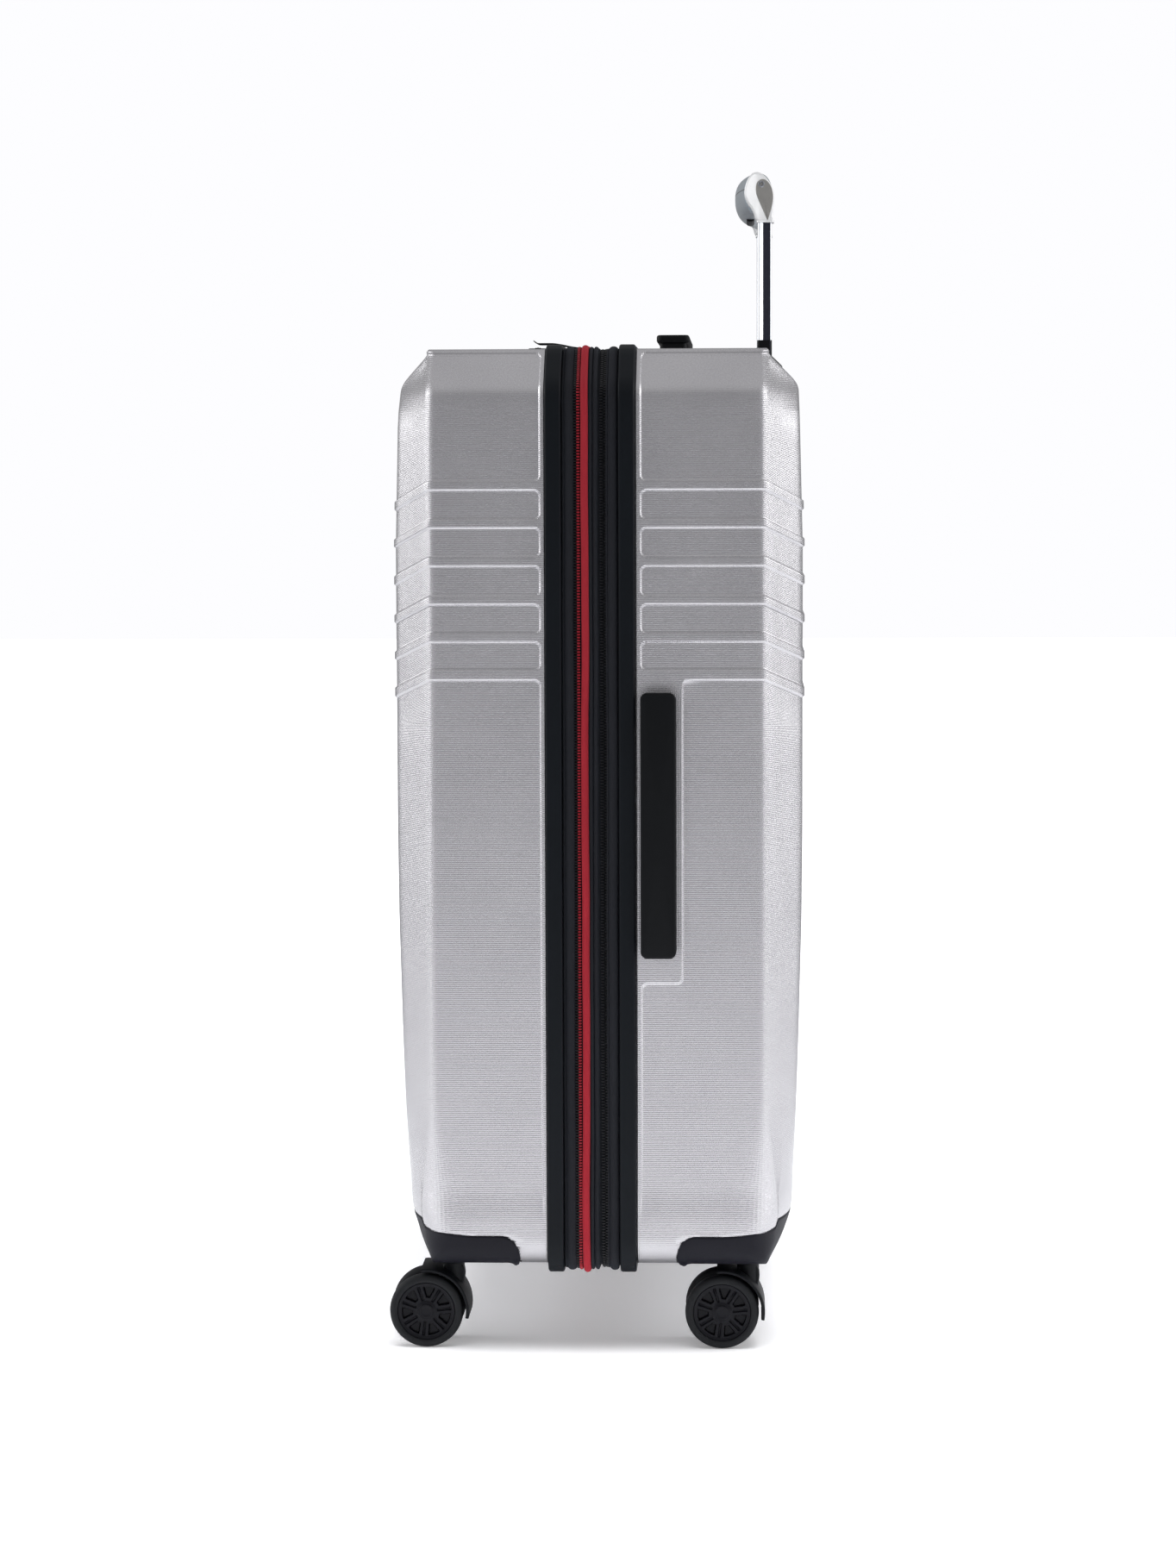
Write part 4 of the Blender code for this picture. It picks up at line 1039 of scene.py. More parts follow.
def wheel(centre):
    """A tyre and the two faces of its hub, about an axle through centre along Y."""
    angle = np.linspace(0, math.tau, 7 * 30, endpoint=False)
    radius = spaced(
        (0.0, 5.2, 6), (5.2, 6.0, 3), (6.0, 10.3, 6), (10.3, 11.3, 4), (11.3, 18.3, 8), (18.3, 19.9, 6),
        (19.9, 22.4, 4)
    )
    r, a = np.meshgrid(radius, angle, indexing="ij")
    faces = []
    for side in (-1, 1):
        y = side * (6.5 - hub_depth(r, a))
        y[-1] = side * 5.0
        points = np.stack([r * np.cos(a), y, r * np.sin(a)], axis=-1) + centre
        faces.append(surface(points, around=True))
    tread = np.array(
        [
            (22.3, -5.6), (22.9, -6.4), (24.6, -6.5), (26.3, -6.1), (27.6, -5.1), (28.2, -3.6),
            (28.45, -1.8), (28.5, 0)
        ]
    )
    other = tread[:-1][::-1] * (1, -1)
    return faces, revolved(np.concatenate([tread, other]), centre, 84)


for end_name, (end, mouth) in ENDS.items():
    for side_name, side in SIDES.items():
        corner = f"{end_name}_{side_name}"
        wheels = [middle_of(f"wheel_{corner}_{place}") for place in ("outer", "inner")]
        fork((wheels[0] + wheels[1]) / 2, corner)
        for place, centre in zip(("outer", "inner"), wheels):
            faces, tyre = wheel(centre)
            name = f"wheel_{corner}_{place}"
            hub = make(f"hub_{corner}_{place}", name, HUB_NYLON, *faces, slot="black_plastic", sharp=40)
            make(f"tyre_{corner}_{place}", name, TYRE_RUBBER, tyre, slot="tyre", sharp=60, replaces=[name])
print(len(hub.data.polygons), "faces in one hub")


# %% [markdown]
# ## Carry handles
#
# Both handles are the same moulding: a flat bar on two feet that slide into the case. The side one lies
# along Z and the top one along Y, so each is made once in its own coordinates, across, along and out, and
# then turned into place. The feet are narrower than the bar, which leaves a shadow under its edge.


# %% Handles
HANDLE_TPE = moulded_abs("black_soft_touch_handle", "#07090c", "#0f1216", 0.5, grain=0.8, depth=0.03)


def carry_handle(width, length, height, feet, drop):
    """A bar width by length whose top is height above the shell, and two feet that go down by drop."""
    half = np.array([width / 2, length / 2])
    bar = slab(rounded_outline(-half, half, 5.0, 8), height - 6.4, height, 2.0, axis=2, steps=5)
    parts = [bar]
    for end in (-1, 1):
        middle = end * (length / 2 - 12.5)
        foot = rounded_outline((-feet / 2, middle - 9.5), (feet / 2, middle + 9.5), 3.5, 6)
        parts.append(slab(foot, -drop, height - 5.5, 0.8, axis=2))
        rim = rounded_outline((-feet / 2 - 1.8, middle - 11.3), (feet / 2 + 1.8, middle + 11.3), 4.5, 6)
        parts.append((rim, foot))
    return parts


def collar(outer, inner, low, high):
    """A flat frame between two outlines with the same number of points."""
    rings = [np.insert(outline, 2, level, axis=1) for outline, level in
             ((outer, low), (outer, high - 0.4), (drawn_in(outer, 0.4), high), (inner, high), (inner, low))]
    return surface(np.array(rings), around=True, along=True)


def turned(made, order, signs, centre):
    """A surface with its axes reordered, some of them reversed, and then moved to centre."""
    points, faces = made
    return points[:, order] * signs + centre, faces


# %% [markdown]
# The side handle stands at its CAD node's own height, and the top one on the flat top. A thin collar round
# each foot hides where the sheet is cut.

# %% Both handles in place
low, high = box_of("side_handle_grip")
side_place = ([0, 2, 1], (1, -1, 1), ((low[0] + high[0]) / 2, -HALF_WIDTH, (low[2] + high[2]) / 2))
bar, foot_a, rim_a, foot_b, rim_b = carry_handle(27, 202, 11.9, 23.5, 12)
make("side_handle_bar", "side_handle", HANDLE_TPE, *(turned(p, *side_place) for p in (bar, foot_a, foot_b)),
     slot="grip", sharp=50, replaces=["side_handle_grip"])
rims = [turned(collar(*rim, -1.0, 1.2), *side_place) for rim in (rim_a, rim_b)]
make("side_handle_collars", "rear_half", BLACK_ABS, *rims, slot="black_plastic", sharp=40)

low, high = box_of("top_handle_grip")
top_place = ([0, 1, 2], (1, 1, 1), ((low[0] + high[0]) / 2, 0, TOP))
bar, foot_a, rim_a, foot_b, rim_b = carry_handle(26, 205, 14.4, 21, 14)
make("top_handle_bar", "top_handle", HANDLE_TPE, *(turned(p, *top_place) for p in (bar, foot_a, foot_b)),
     slot="grip", sharp=50, replaces=["top_handle_grip"])
rims = [turned(collar(*rim, -1.0, 1.2), *top_place) for rim in (rim_a, rim_b)]
make("top_handle_collars", "rear_half", BLACK_ABS, *rims, slot="black_plastic", sharp=40)

# %% [markdown]
# ## The pull handle
#
# Two extruded aluminium tubes carry a hollow grip. Each tube has a dark ribbed strip let into its outer
# face. The aluminium is anodised: a hard clear skin over metal with faint lines from the extrusion die
# that run up the tube.


# %% Aluminium and painted plastic
def anodised_aluminium():
    """Noise stretched fifty times along Z draws the lines of the extrusion die."""
    material, tree, principled = shader("anodised_aluminium", Metallic=1.0)
    where = coordinates(tree)
    stretched = node(tree, "ShaderNodeMapping", {}, {"Vector": where, "Scale": (1, 1, 0.02)}).outputs[0]
    lines = noise(tree, stretched, 0.7, detail=3, roughness=0.7)
    cloud = noise(tree, where, 40)
    mixed = math_of(
        tree, "ADD", math_of(tree, "MULTIPLY", lines, 0.7), math_of(tree, "MULTIPLY", cloud, 0.3)
    )
    tree.links.new(between(tree, mixed, "#b9bcc2", "#e2e4e8"), principled.inputs["Base Color"])
    tree.links.new(between(tree, lines, 0.24, 0.38), principled.inputs["Roughness"])
    bump(tree, principled, lines, 0.02)
    return material


# %% [markdown]
# The strips in the tubes are plain extruded plastic. The grip is moulded and painted in three shades of
# silver, and its screws and the lock's button are plated steel.


# %% Ribbed plastic, silver paint and steel
def ribbed_strip():
    """Extruded dark plastic with ribs up its length. Their real pitch is 0.6 mm; they are drawn at 1.2 mm.
    The colour is a random tone, painted lighter on each rib's crest and darker in its grooves: painted light
    and shade.
    """
    material, tree, principled = shader("ribbed_dark_strip", IOR=1.5, Specular_IOR_Level=0.4)
    where = coordinates(tree)
    across = node(tree, "ShaderNodeSeparateXYZ", {}, {0: where}).outputs[0]
    ribs = math_of(
        tree, "MULTIPLY_ADD",
        math_of(tree, "SINE", math_of(tree, "MULTIPLY", across, math.tau / (1.2 * MM))), 0.5
    )
    fine = noise(tree, where, 2.0)
    # painted light and shade: the colour follows the ribs, light on their crests and dark between them; the
    # noise is a random tone
    lift = math_of(
        tree, "ADD", math_of(tree, "MULTIPLY", ribs, 0.6), math_of(tree, "MULTIPLY", fine, 0.5), clamp=True
    )
    tree.links.new(between(tree, lift, "#0e0f1c", "#34374a"), principled.inputs["Base Color"])
    tree.links.new(between(tree, fine, 0.3, 0.45), principled.inputs["Roughness"])
    bump(tree, principled, ribs, 0.15)
    return material


def silver_paint(name, dark, light, roughness, metallic, seam=None):
    """Silver paint on moulded plastic: fine flake in lacquer, with a hair's breadth of orange peel. seam is
    the height in millimetres of the line where two halves meet."""
    material, tree, principled = shader(name, Metallic=metallic, Coat_Weight=0.4, Coat_Roughness=0.12)
    where = coordinates(tree)
    flake = noise(tree, where, 0.5, detail=3, roughness=0.7)
    peel = noise(tree, where, 6.0, detail=2)
    mixed = math_of(
        tree, "ADD", math_of(tree, "MULTIPLY", flake, 0.5), math_of(tree, "MULTIPLY", peel, 0.5)
    )
    colour = between(tree, mixed, dark, light)
    height = peel
    if seam:
        level = node(tree, "ShaderNodeSeparateXYZ", {}, {0: where}).outputs[2]
        away = math_of(tree, "ABSOLUTE", math_of(tree, "SUBTRACT", level, seam * MM))
        near = node(
            tree, "ShaderNodeMapRange", {}, {0: away, 1: 0.25 * MM, 2: 0.6 * MM, 3: 0.0, 4: 1.0}
        ).outputs[0]
        colour = node(
            tree, "ShaderNodeMix", {"data_type": "RGBA"}, {0: near, 6: linear("#4a5054"), 7: colour}
        ).outputs[2]
        height = math_of(tree, "ADD", math_of(tree, "MULTIPLY", peel, 0.2), near)
    tree.links.new(colour, principled.inputs["Base Color"])
    tree.links.new(between(tree, flake, roughness - 0.05, roughness + 0.08), principled.inputs["Roughness"])
    bump(tree, principled, height, 0.08)
    return material


ALUMINIUM = anodised_aluminium()
RIBBED_STRIP = ribbed_strip()
CAP_PAINT = silver_paint("white_silver_paint", "#f6f7f8", "#ffffff", 0.28, 0.1)
PLATE_PAINT = silver_paint("warm_silver_paint", "#b0aea9", "#cfcdc8", 0.35, 0.5)
BAR_PAINT = silver_paint("blue_silver_paint", "#9ba6ae", "#c6d0d7", 0.36, 0.5, seam=898.5)


def steel():
    """Nickel-plated steel: bright, with fine wear lines."""
    material, tree, principled = shader("nickel_plated_steel", Metallic=1.0)
    where = coordinates(tree)
    wear = noise(tree, where, 1.5, detail=4, roughness=0.7)
    tree.links.new(between(tree, wear, "#8f9299", "#d6d8dc"), principled.inputs["Base Color"])
    tree.links.new(between(tree, wear, 0.2, 0.36), principled.inputs["Roughness"])
    bump(tree, principled, wear, 0.02)
    return material


STEEL = steel()

# %% [markdown]
# The tubes run from deep in the case up to the grip, which bows towards the front and has an egg section.
# Each end cap is an outline in the XZ plane with its corners cut, carried across the tube. A teardrop plate
# with a cross-head screw sits on its outer face.


# %% The tubes
TUBE_X = middle_of("trolley_tube_near")[0]
TUBE_TOP = 872.0


def tube(side):
    """A rounded bar, a strip let into its outer face, and a sleeve that slides up with it."""
    y_low, y_high = sorted((side * 87.0, side * 103.0))
    body = slab(
        rounded_outline((TUBE_X - 5.5, y_low), (TUBE_X + 5.5, y_high), 2.2, 6), 259, TUBE_TOP + 0.5, 0.3,
        axis=2
    )
    outer = side * 103.0
    strip_low, strip_high = sorted((outer - side * 0.6, outer + side * 0.22))
    inlay = slab(
        rounded_outline((TUBE_X - 1.3, 262), (TUBE_X + 4.6, TUBE_TOP + 0.2), 0.3, 4), strip_low, strip_high,
        0.15, axis=1, steps=2
    )
    sleeve_low, sleeve_high = (TUBE_X - 5.8, y_low - 0.3), (TUBE_X + 5.75, y_high + 0.3)
    sleeve = slab(rounded_outline(sleeve_low, sleeve_high, 2.4, 6), 752, 779.5, 0.3, axis=2)
    return body, inlay, sleeve


for side_name, side in SIDES.items():
    body, inlay, sleeve = tube(side)
    make(
        "aluminium_tube_" + side_name, "trolley", ALUMINIUM, body, slot="tube",
        replaces=["trolley_tube_" + side_name]
    )
    make("tube_inlay_" + side_name, "trolley", RIBBED_STRIP, inlay, slot="black_plastic")
    make("tube_sleeve_" + side_name, "trolley", BLACK_ABS, sleeve, slot="black_plastic")


# %% [markdown]
# The grip's bar tapers out of one formula, and the caps at its ends are cut from sheet-like outlines with
# rolled edges.


# %% The grip
def grip_bar():
    """Rings along Y. A ring is |x / a|^2.3 + |z / b|^2.3 = 1, drawn as cos and sin raised to 2 / 2.3."""
    y = np.linspace(-88, 88, 45)[:, None]
    a = np.linspace(0, math.tau, 72, endpoint=False)[None]
    cos, sin = np.cos(a), np.sin(a)
    power = 2 / 2.3
    x = TUBE_X - 5.0 - 7.2 * (1 - (y / 88) ** 2) + 11.3 * np.sign(cos) * abs(cos) ** power
    z = TUBE_TOP + 23.0 + 16.2 * np.sign(sin) * abs(sin) ** power + 1.4 * cos**2 * np.sign(-cos)
    return solid(np.stack([x, y + 0 * a, z + 0 * y], axis=-1))


make("grip_bar", "trolley", BAR_PAINT, grip_bar(), slot="grip", replaces=["trolley_grip"], sharp=60)
cap_outline = np.array(
    [(-6.8, 0.4), (-9.0, 9.0), (-14.4, 15.6), (-16.6, 23.5), (-14.4, 32.6), (-9.6, 39.2), (-2.8, 39.0),
     (4.2, 31.8), (8.2, 20.8), (6.4, 8.4), (6.2, 0.4), (-0.6, 0.0)]
) + (TUBE_X, TUBE_TOP)
plate_outline = np.array(
    [(-7.4, 25.5), (-6.4, 31.4), (-1.6, 34.4), (4.2, 30.4), (7.2, 21.8), (6.0, 13.0), (2.6, 1.4),
     (1.8, 1.4), (-2.0, 10.6), (-5.8, 18.6)]
) + (TUBE_X, TUBE_TOP)


def screw_head(centre, side):
    """A domed disc with a cross pressed into it: depth 0.9 mm where a point is close to either arm."""
    radius = spaced((0, 1.7, 14), (1.7, 2.1, 2), (2.1, 2.6, 4))
    r, a = np.meshgrid(radius, np.linspace(0, math.tau, 56, endpoint=False), indexing="ij")
    u, v = r * np.cos(a + 0.6), r * np.sin(a + 0.6)
    arm = np.minimum(abs(u), abs(v))
    pressed = 0.9 * (1 - smooth(0.3, 0.55, arm)) * (1 - smooth(1.3, 1.6, r))
    y = 0.75 * np.sqrt(np.maximum(1 - (r / 2.75) ** 2, 0)) - pressed
    points = np.stack([r * np.cos(a), side * y, r * np.sin(a)], axis=-1) + np.array(centre)
    return surface(points, around=True)


for side_name, side in SIDES.items():
    inner, outer = sorted((side * 86.0, side * 104.0))
    cap = slab(softened(cap_outline, 3), inner, outer, 1.8, axis=1, steps=5)
    y_low, y_high = sorted((side * 85.5, side * 104.5))
    flange = slab(
        rounded_outline((TUBE_X - 6.4, y_low), (TUBE_X + 7.5, y_high), 3, 6), TUBE_TOP - 0.4,
        TUBE_TOP + 1.2, 0.4, axis=2
    )
    make(
        "grip_end_" + side_name, "trolley", CAP_PAINT, cap, flange, slot="grip", sharp=50,
        replaces=["grip_cap_" + side_name]
    )
    y_low, y_high = sorted((side * 103.6, side * 104.55))
    plate = slab(softened(plate_outline, 3), y_low, y_high, 0.35, axis=1)
    make("grip_plate_" + side_name, "trolley", PLATE_PAINT, plate, slot="grip", sharp=50)
    head = screw_head((TUBE_X - 2.7, side * 104.5, TUBE_TOP + 29.6), side)
    make(
        "cross_head_screw_" + side_name, "trolley", STEEL, head, slot="steel",
        replaces=["grip_screw_" + side_name], outward=False
    )
button = slab(
    rounded_outline((TUBE_X - 14.2, TUBE_TOP + 5.2), (TUBE_X - 7.8, TUBE_TOP + 11), 2.0, 6), -30, 30, 1.2,
    axis=1
)
make(
    "release_button", "grip_button", BLACK_ABS, button, slot="black_plastic", sharp=50,
    replaces=["grip_button"]
)


# %% [markdown]
# The grip drops into a tray let into the top of the rear shell. The sheet's cut edge is covered by a thin
# frame that lies on the flat top and bends down the slope with it.

# %% The tray's frame
TRAY_LOW, TRAY_HIGH = box_of("trolley_tray")


def evenly(outline, step=3.0):
    """A closed outline with points about step apart."""
    closed = np.concatenate([outline, outline[:1]])
    lengths = np.append(0, np.cumsum(np.linalg.norm(np.diff(closed, axis=0), axis=1)))
    where = np.arange(round(lengths[-1] / step)) * lengths[-1] / round(lengths[-1] / step)
    return np.stack([np.interp(where, lengths, closed[:, k]) for k in (0, 1)], axis=1)


edge = evenly(rounded_outline(TRAY_LOW[:2] - 3.5, TRAY_HIGH[:2] + 3.0, 7, 6))
points, faces = collar(edge, drawn_in(edge, 6.2), TOP - 3.0, TOP + 1.6)
points[:, 2] -= np.maximum(points[:, 0] - TURN, 0) * 0.944
make("tray_frame", "rear_half", BLACK_ABS, (points, faces), slot="black_plastic", sharp=40)

# %% [markdown]
# ## Lock, sliders and pulls
#
# A combination lock sits on top of the front half, beside its rim. Its dials are turned pieces whose
# radius ripples round the axle, so that a finger can move them.


# %% The lock
lock_low, lock_high = box_of("lock_body")
outline = rounded_outline(lock_low[:2], lock_high[:2], 5, 7)
lock_base = slab(outline, TOP - 2.5, lock_high[2] - 2.4, 1.0, axis=2)
raised = slab(
    rounded_outline(lock_low[:2] + 2.5, lock_high[:2] - 2.5, 4, 7), TOP - 2, lock_high[2], 0.8, axis=2
)
make(
    "lock_housing", "front_half", BLACK_ABS, lock_base, raised, slot="black_plastic", replaces=["lock_body"]
)


def lock_dial(centre):
    """A wheel 4.8 mm wide about Y. Its radius is 6.35 + 0.15 cos(20 a), less at its rims."""
    a = np.linspace(0, math.tau, 120, endpoint=False)[:, None]
    across = np.array([-2.4, -2.4, -2.0, -1.2, 0, 1.2, 2.0, 2.4, 2.4])[None]
    rim = np.array([2.0, 5.8, 6.2, 6.35, 6.35, 6.35, 6.2, 5.8, 2.0])[None]
    radius = rim + 0.15 * np.cos(20 * a) * (rim > 6)
    y = across + 0 * a
    return surface(
        np.stack([radius * np.cos(a), y, radius * np.sin(a)], axis=-1) + centre, around=True, along=True
    )


for number in (1, 2, 3):
    name = f"lock_dial_{number}"
    make(
        "number_dial_%d" % number, name, HUB_NYLON, lock_dial(middle_of(name)), slot="black_plastic",
        replaces=[name]
    )
low, high = box_of("lock_button")
button = slab(oval((low[:2] + high[:2]) / 2, (high[:2] - low[:2]) / 2, 28), low[2], high[2], 0.9, axis=2)
make("lock_release", "lock_button", STEEL, button, slot="steel", replaces=["lock_button"])


# %% [markdown]
# The main zip has two sliders on its upper run and the expansion zip has one. Each is a small casting with
# a bridge, and its rubber pull hangs from the bridge and ends in a raised curl.


# %% Zip sliders and pulls
def slider(node):
    """A slider body: a rounded shield, a bridge over it that holds the pull."""
    low, high = box_of(node)
    middle = (low + high) / 2
    shield = [
        (low[0], middle[1] - 3), (low[0] + 2, low[1]), (high[0] - 2, low[1] + 1), (high[0], middle[1] - 2),
        (high[0], middle[1] + 2), (high[0] - 2, high[1] - 1), (low[0] + 2, high[1]), (low[0], middle[1] + 3)
    ]
    plate = slab(softened(shield, 2), low[2] - 1.2, high[2] - 0.9, 0.5, axis=2)
    a = np.linspace(0, math.pi, 16)
    path = np.stack(
        [middle[0] + 3.6 * np.cos(a), middle[1] + 0 * a, high[2] - 2.1 + 1.5 * np.sin(a)], axis=1
    )
    section = oval((0, 0), (1.1, 0.5), 10)
    outward = np.stack([np.cos(a), 0 * a, np.sin(a)], axis=1)
    rings = path[:, None] + section[None, :, :1] * np.array([0, 1, 0]) + section[
        None, :, 1:
    ] * outward[:, None]
    return plate, solid(rings)


BLACK_ZINC = moulded_abs("black_plated_zinc", "#141519", "#2b2d33", 0.35, grain=1.2, depth=0.02)
for node_name, body in (("main_slider_near", "main_slider_near"), ("main_slider_far", "main_slider_far"),
                        ("expansion_slider", "expansion_slider")):
    make(node_name + "_casting", body, BLACK_ZINC, *slider(node_name), slot="steel", replaces=[node_name])


def pull(node):
    """A strap carried along a rising path. It curls up over its last few millimetres."""
    low, high = box_of(node)
    y = (low[1] + high[1]) / 2
    t = np.linspace(0, 1, 26)
    x = high[0] - 0.4 - t * (high[0] - low[0] + 14.1)
    z = 776.7 + 3.6 * smooth(0.15, 0.7, t) + 2.4 * np.clip((t - 0.9) / 0.1, 0, 1) ** 2
    half = np.where(
        t > 0.5, 4.0, 2.6 + 1.4 * smooth(0.3, 0.5, t)
    ) * np.sqrt(np.clip((1.02 - t) / 0.06, 0.15, 1))
    section = rounded_outline((-1, -0.55), (1, 0.55), 0.3, 3)
    rings = np.stack([x[:, None] + 0 * section[None, :, 0], y + half[:, None] * section[None, :, 0],
                      z[:, None] + 0.9 * section[None, :, 1]], axis=-1)
    return solid(rings)


for side_name in SIDES:
    node_name = "main_pull_" + side_name
    make("zip_" + node_name, node_name, HANDLE_TPE, pull(node_name), slot="grip", replaces=[node_name])

# %% [markdown]
# ## The inside
#
# Each half is lined with thin woven polyester glued to a thin foam, so it follows the shell with soft
# corners and shallow ripples. It is the wall's own function again, moved inwards, and held off the trays.


# %% Lining cloth
def lining_cloth():
    """Grey polyester with a ripstop grid of thicker threads every 6 mm."""
    material, tree, principled = shader(
        "grey_polyester_lining", Roughness=0.8, Sheen_Weight=0.3, Sheen_Roughness=0.4
    )
    where = coordinates(tree, "pattern")
    axes = node(tree, "ShaderNodeSeparateXYZ", {}, {0: where}).outputs
    lines = []
    for axis in (0, 1):
        wave = math_of(tree, "COSINE", math_of(tree, "MULTIPLY", axes[axis], math.tau / 6.0))
        lines.append(
            node(tree, "ShaderNodeMapRange", {}, {0: wave, 1: 0.9, 2: 1.0, 3: 0.0, 4: 1.0}).outputs[0]
        )
    grid = math_of(tree, "MAXIMUM", *lines)
    fuzz = noise(tree, where, 0.9, detail=3, metres=False)
    cloud = noise(tree, where, 50, metres=False)
    mixed = math_of(
        tree, "ADD", math_of(tree, "MULTIPLY", fuzz, 0.5), math_of(tree, "MULTIPLY", cloud, 0.4)
    )
    mixed = math_of(tree, "SUBTRACT", mixed, math_of(tree, "MULTIPLY", grid, 0.2), clamp=True)
    tree.links.new(between(tree, mixed, "#4b4d55", "#7d8088"), principled.inputs["Base Color"])
    bump(tree, principled, math_of(tree, "ADD", grid, fuzz), 0.12)
    return material


LINING = lining_cloth()


# %% [markdown]
# The lining takes its shape from the wall, less about 5 mm, and shallow waves keep it from looking
# machined.


# %% The two linings
def ripples(s, r, seed):
    """Shallow waves of about 1 mm: sums of sines whose directions and lengths differ."""
    rng = np.random.default_rng(seed)
    total = 0 * s
    for length in (170, 110, 70, 45):
        a, phase = rng.uniform(0, math.tau, 2)
        total = total + length / 170 * np.sin(
            (s * math.cos(a) + r * math.sin(a)) * math.tau / length + phase
        )
    return 0.5 * total


def lining(name, body, end, mouth, back, near, node_name):
    """One half's lining. Points are held below the trays and in front of the back, whose sheet is flat. At
    the mouth a narrow flange runs out to the rim."""
    columns = spaced(
        (mouth, mouth + 1.5, 2), (mouth + 1.5, 60, 4), (60, SIDE_END, 6), (SIDE_END, SECOND_BEND_END, 16),
        (SECOND_BEND_END, FACE_END, 18)
    )
    rows = spaced(
        (BOTTOM - BOTTOM_EDGE, 0, 10), (0, 130, 26), (130, 700, 50), (700, 780, 24), (780, TOP + EDGE, 10)
    )
    r, s = np.meshgrid(rows, columns, indexing="ij")
    base, normal = wall(s, r, mouth), wall_normal(s, r, mouth)
    halves = []
    for side in (-1, 1):
        depth = 5.2 + ripples(s, r, 7 + side + end) * 0.8
        points = base - normal * depth[..., None]
        x = np.minimum(points[..., 0], back + 0.25 * ripples(s, r, 11 + side))
        limit = near if side < 0 else 252.5
        y = np.minimum(points[..., 1], limit + 0.4 * ripples(s, r, 5))
        ceiling = 746.5 - (
            27.5 * smooth(TRAY_LOW[0] - 14, TRAY_LOW[0] - 5, x) * (1 - smooth(132, 142, y)) if end > 0
            else 0
        )
        z = np.clip(points[..., 2], 94.0, ceiling)
        held = smooth(mouth + 0.3, mouth + 1.4, s)[..., None]
        points = points * (1 - held) + np.stack([x, y, z], axis=-1) * held
        halves.append((points * (end, side, 1))[:, :: 1 if side < 0 else -1])
    points = np.concatenate([halves[0], halves[1][:, 1:]], axis=1)
    pattern = np.stack(
        np.meshgrid(rows, np.arange(points.shape[1]) * 8.0, indexing="ij") + [points[..., 0]], axis=-1
    )
    if end < 0:
        points, pattern = points[:, ::-1], pattern[:, ::-1]
    cloth = make(name, body, LINING, surface(points), slot="lining", sharp=70, outward=False,
                 replaces=[node_name], pattern=pattern.reshape(-1, 3))
    thicken = cloth.modifiers.new("cloth", "SOLIDIFY")
    thicken.thickness = 0.8 * MM
    thicken.offset = -1
    return cloth


lining_back = box_of("rear_lining")[1][0]
lining("front_half_lining", "front_half", -1, FRONT_MOUTH, 153.5, 252.5, "front_lining")
lining(
    "rear_half_lining", "rear_half", 1, REAR_MOUTH, lining_back - 0.8, -box_of("rear_lining")[0][1],
    "rear_lining"
)

# %% [markdown]
# The gusset is the pleated cloth that lets the case grow: it joins the middle band to the rear half and
# lies folded inwards. A flat flange of the same cloth fills the space between its pleats and the band. The
# hinge strip joins the front half to the middle band on the side that opens.


# %% Gusset and hinge strip
def around_x(outline, profile, thickness=0.8):
    """A closed cloth band: profile's (x, out) carried round an outline in YZ, out and back."""
    back = profile[::-1] - (0, thickness)
    both = np.concatenate([profile, back])
    return surface(
        np.array([np.insert(drawn_in(outline, -out), 0, x, axis=1) for x, out in both]), around=True,
        along=True
    )


def reached(outline, path):
    """For each point of an outline, the point of path that lies in the same direction from the middle."""
    middle = (outline.min(axis=0) + outline.max(axis=0)) / 2
    away, wanted = path - middle, outline - middle
    angle = np.arctan2(away[:, 1], away[:, 0])
    order = np.argsort(angle)
    aim = np.arctan2(wanted[:, 1], wanted[:, 0])
    radius = np.interp(aim, angle[order], np.hypot(*away.T)[order], period=math.tau)
    return middle + np.stack([np.cos(aim), np.sin(aim)], axis=1) * radius[:, None]


gusset_low, gusset_high = box_of("gusset")
inside = rounded_outline(gusset_low[1:] + 0.8, gusset_high[1:] - 0.8, 26, 14)
x = np.linspace(gusset_low[0] + 0.5, gusset_high[0] - 0.5, 34)
fold = 2.2 * np.cos((x - x[0]) / (x[-1] - x[0]) * math.tau * 3) - 2.6
profile = np.stack([x, fold], axis=1)
wall_cloth = around_x(inside, profile)
path, outward = around_case(4.0)[:2]
edges = [drawn_in(inside, 0.8), reached(inside, path - outward * 3.3)]
loop = [(0.4, edges[0]), (0.4, edges[1]), (1.2, edges[1]), (1.2, edges[0])]
flange = surface(
    np.array([np.insert(edge, 0, x[0] + dx, axis=1) for dx, edge in loop]), around=True, along=True
)
pattern = np.concatenate([wall_cloth[0], flange[0]])[:, [0, 2, 1]]
pleats = make("pleated_gusset", None, LINING, wall_cloth, flange, slot="lining", sharp=60,
              replaces=["gusset"], pattern=pattern)
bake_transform(pleats)

strip_low, strip_high = box_of("hinge_strip")
across = np.linspace(strip_low[0], strip_high[0], 40)
along = np.linspace(strip_low[2], strip_high[2], 30)
z, x = np.meshgrid(along, across, indexing="ij")
ends = 1 - smooth(0, 12, np.minimum(z - strip_low[2], strip_high[2] - z))
x = x * (1 - 0.06 * ends)
front_face = np.stack([x, strip_high[1] - 0.05 + 0.15 * np.sin(z / 19), z], axis=-1)
back_face = front_face - (0, 0.7, 0)
rings = np.concatenate([front_face, back_face[:, ::-1]], axis=1)
cloth = solid(rings)
hinge_cloth = make(
    "hinge_cloth", None, NAVY_TAPE, cloth, slot="zip_fabric", sharp=60, replaces=["hinge_strip"],
    pattern=cloth[0][:, [2, 0, 1]]
)
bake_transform(hinge_cloth)

# %% [markdown]
# Two webbing straps cross the rear half and meet in a side-release buckle. Polyester webbing is woven in
# ribs across its width.


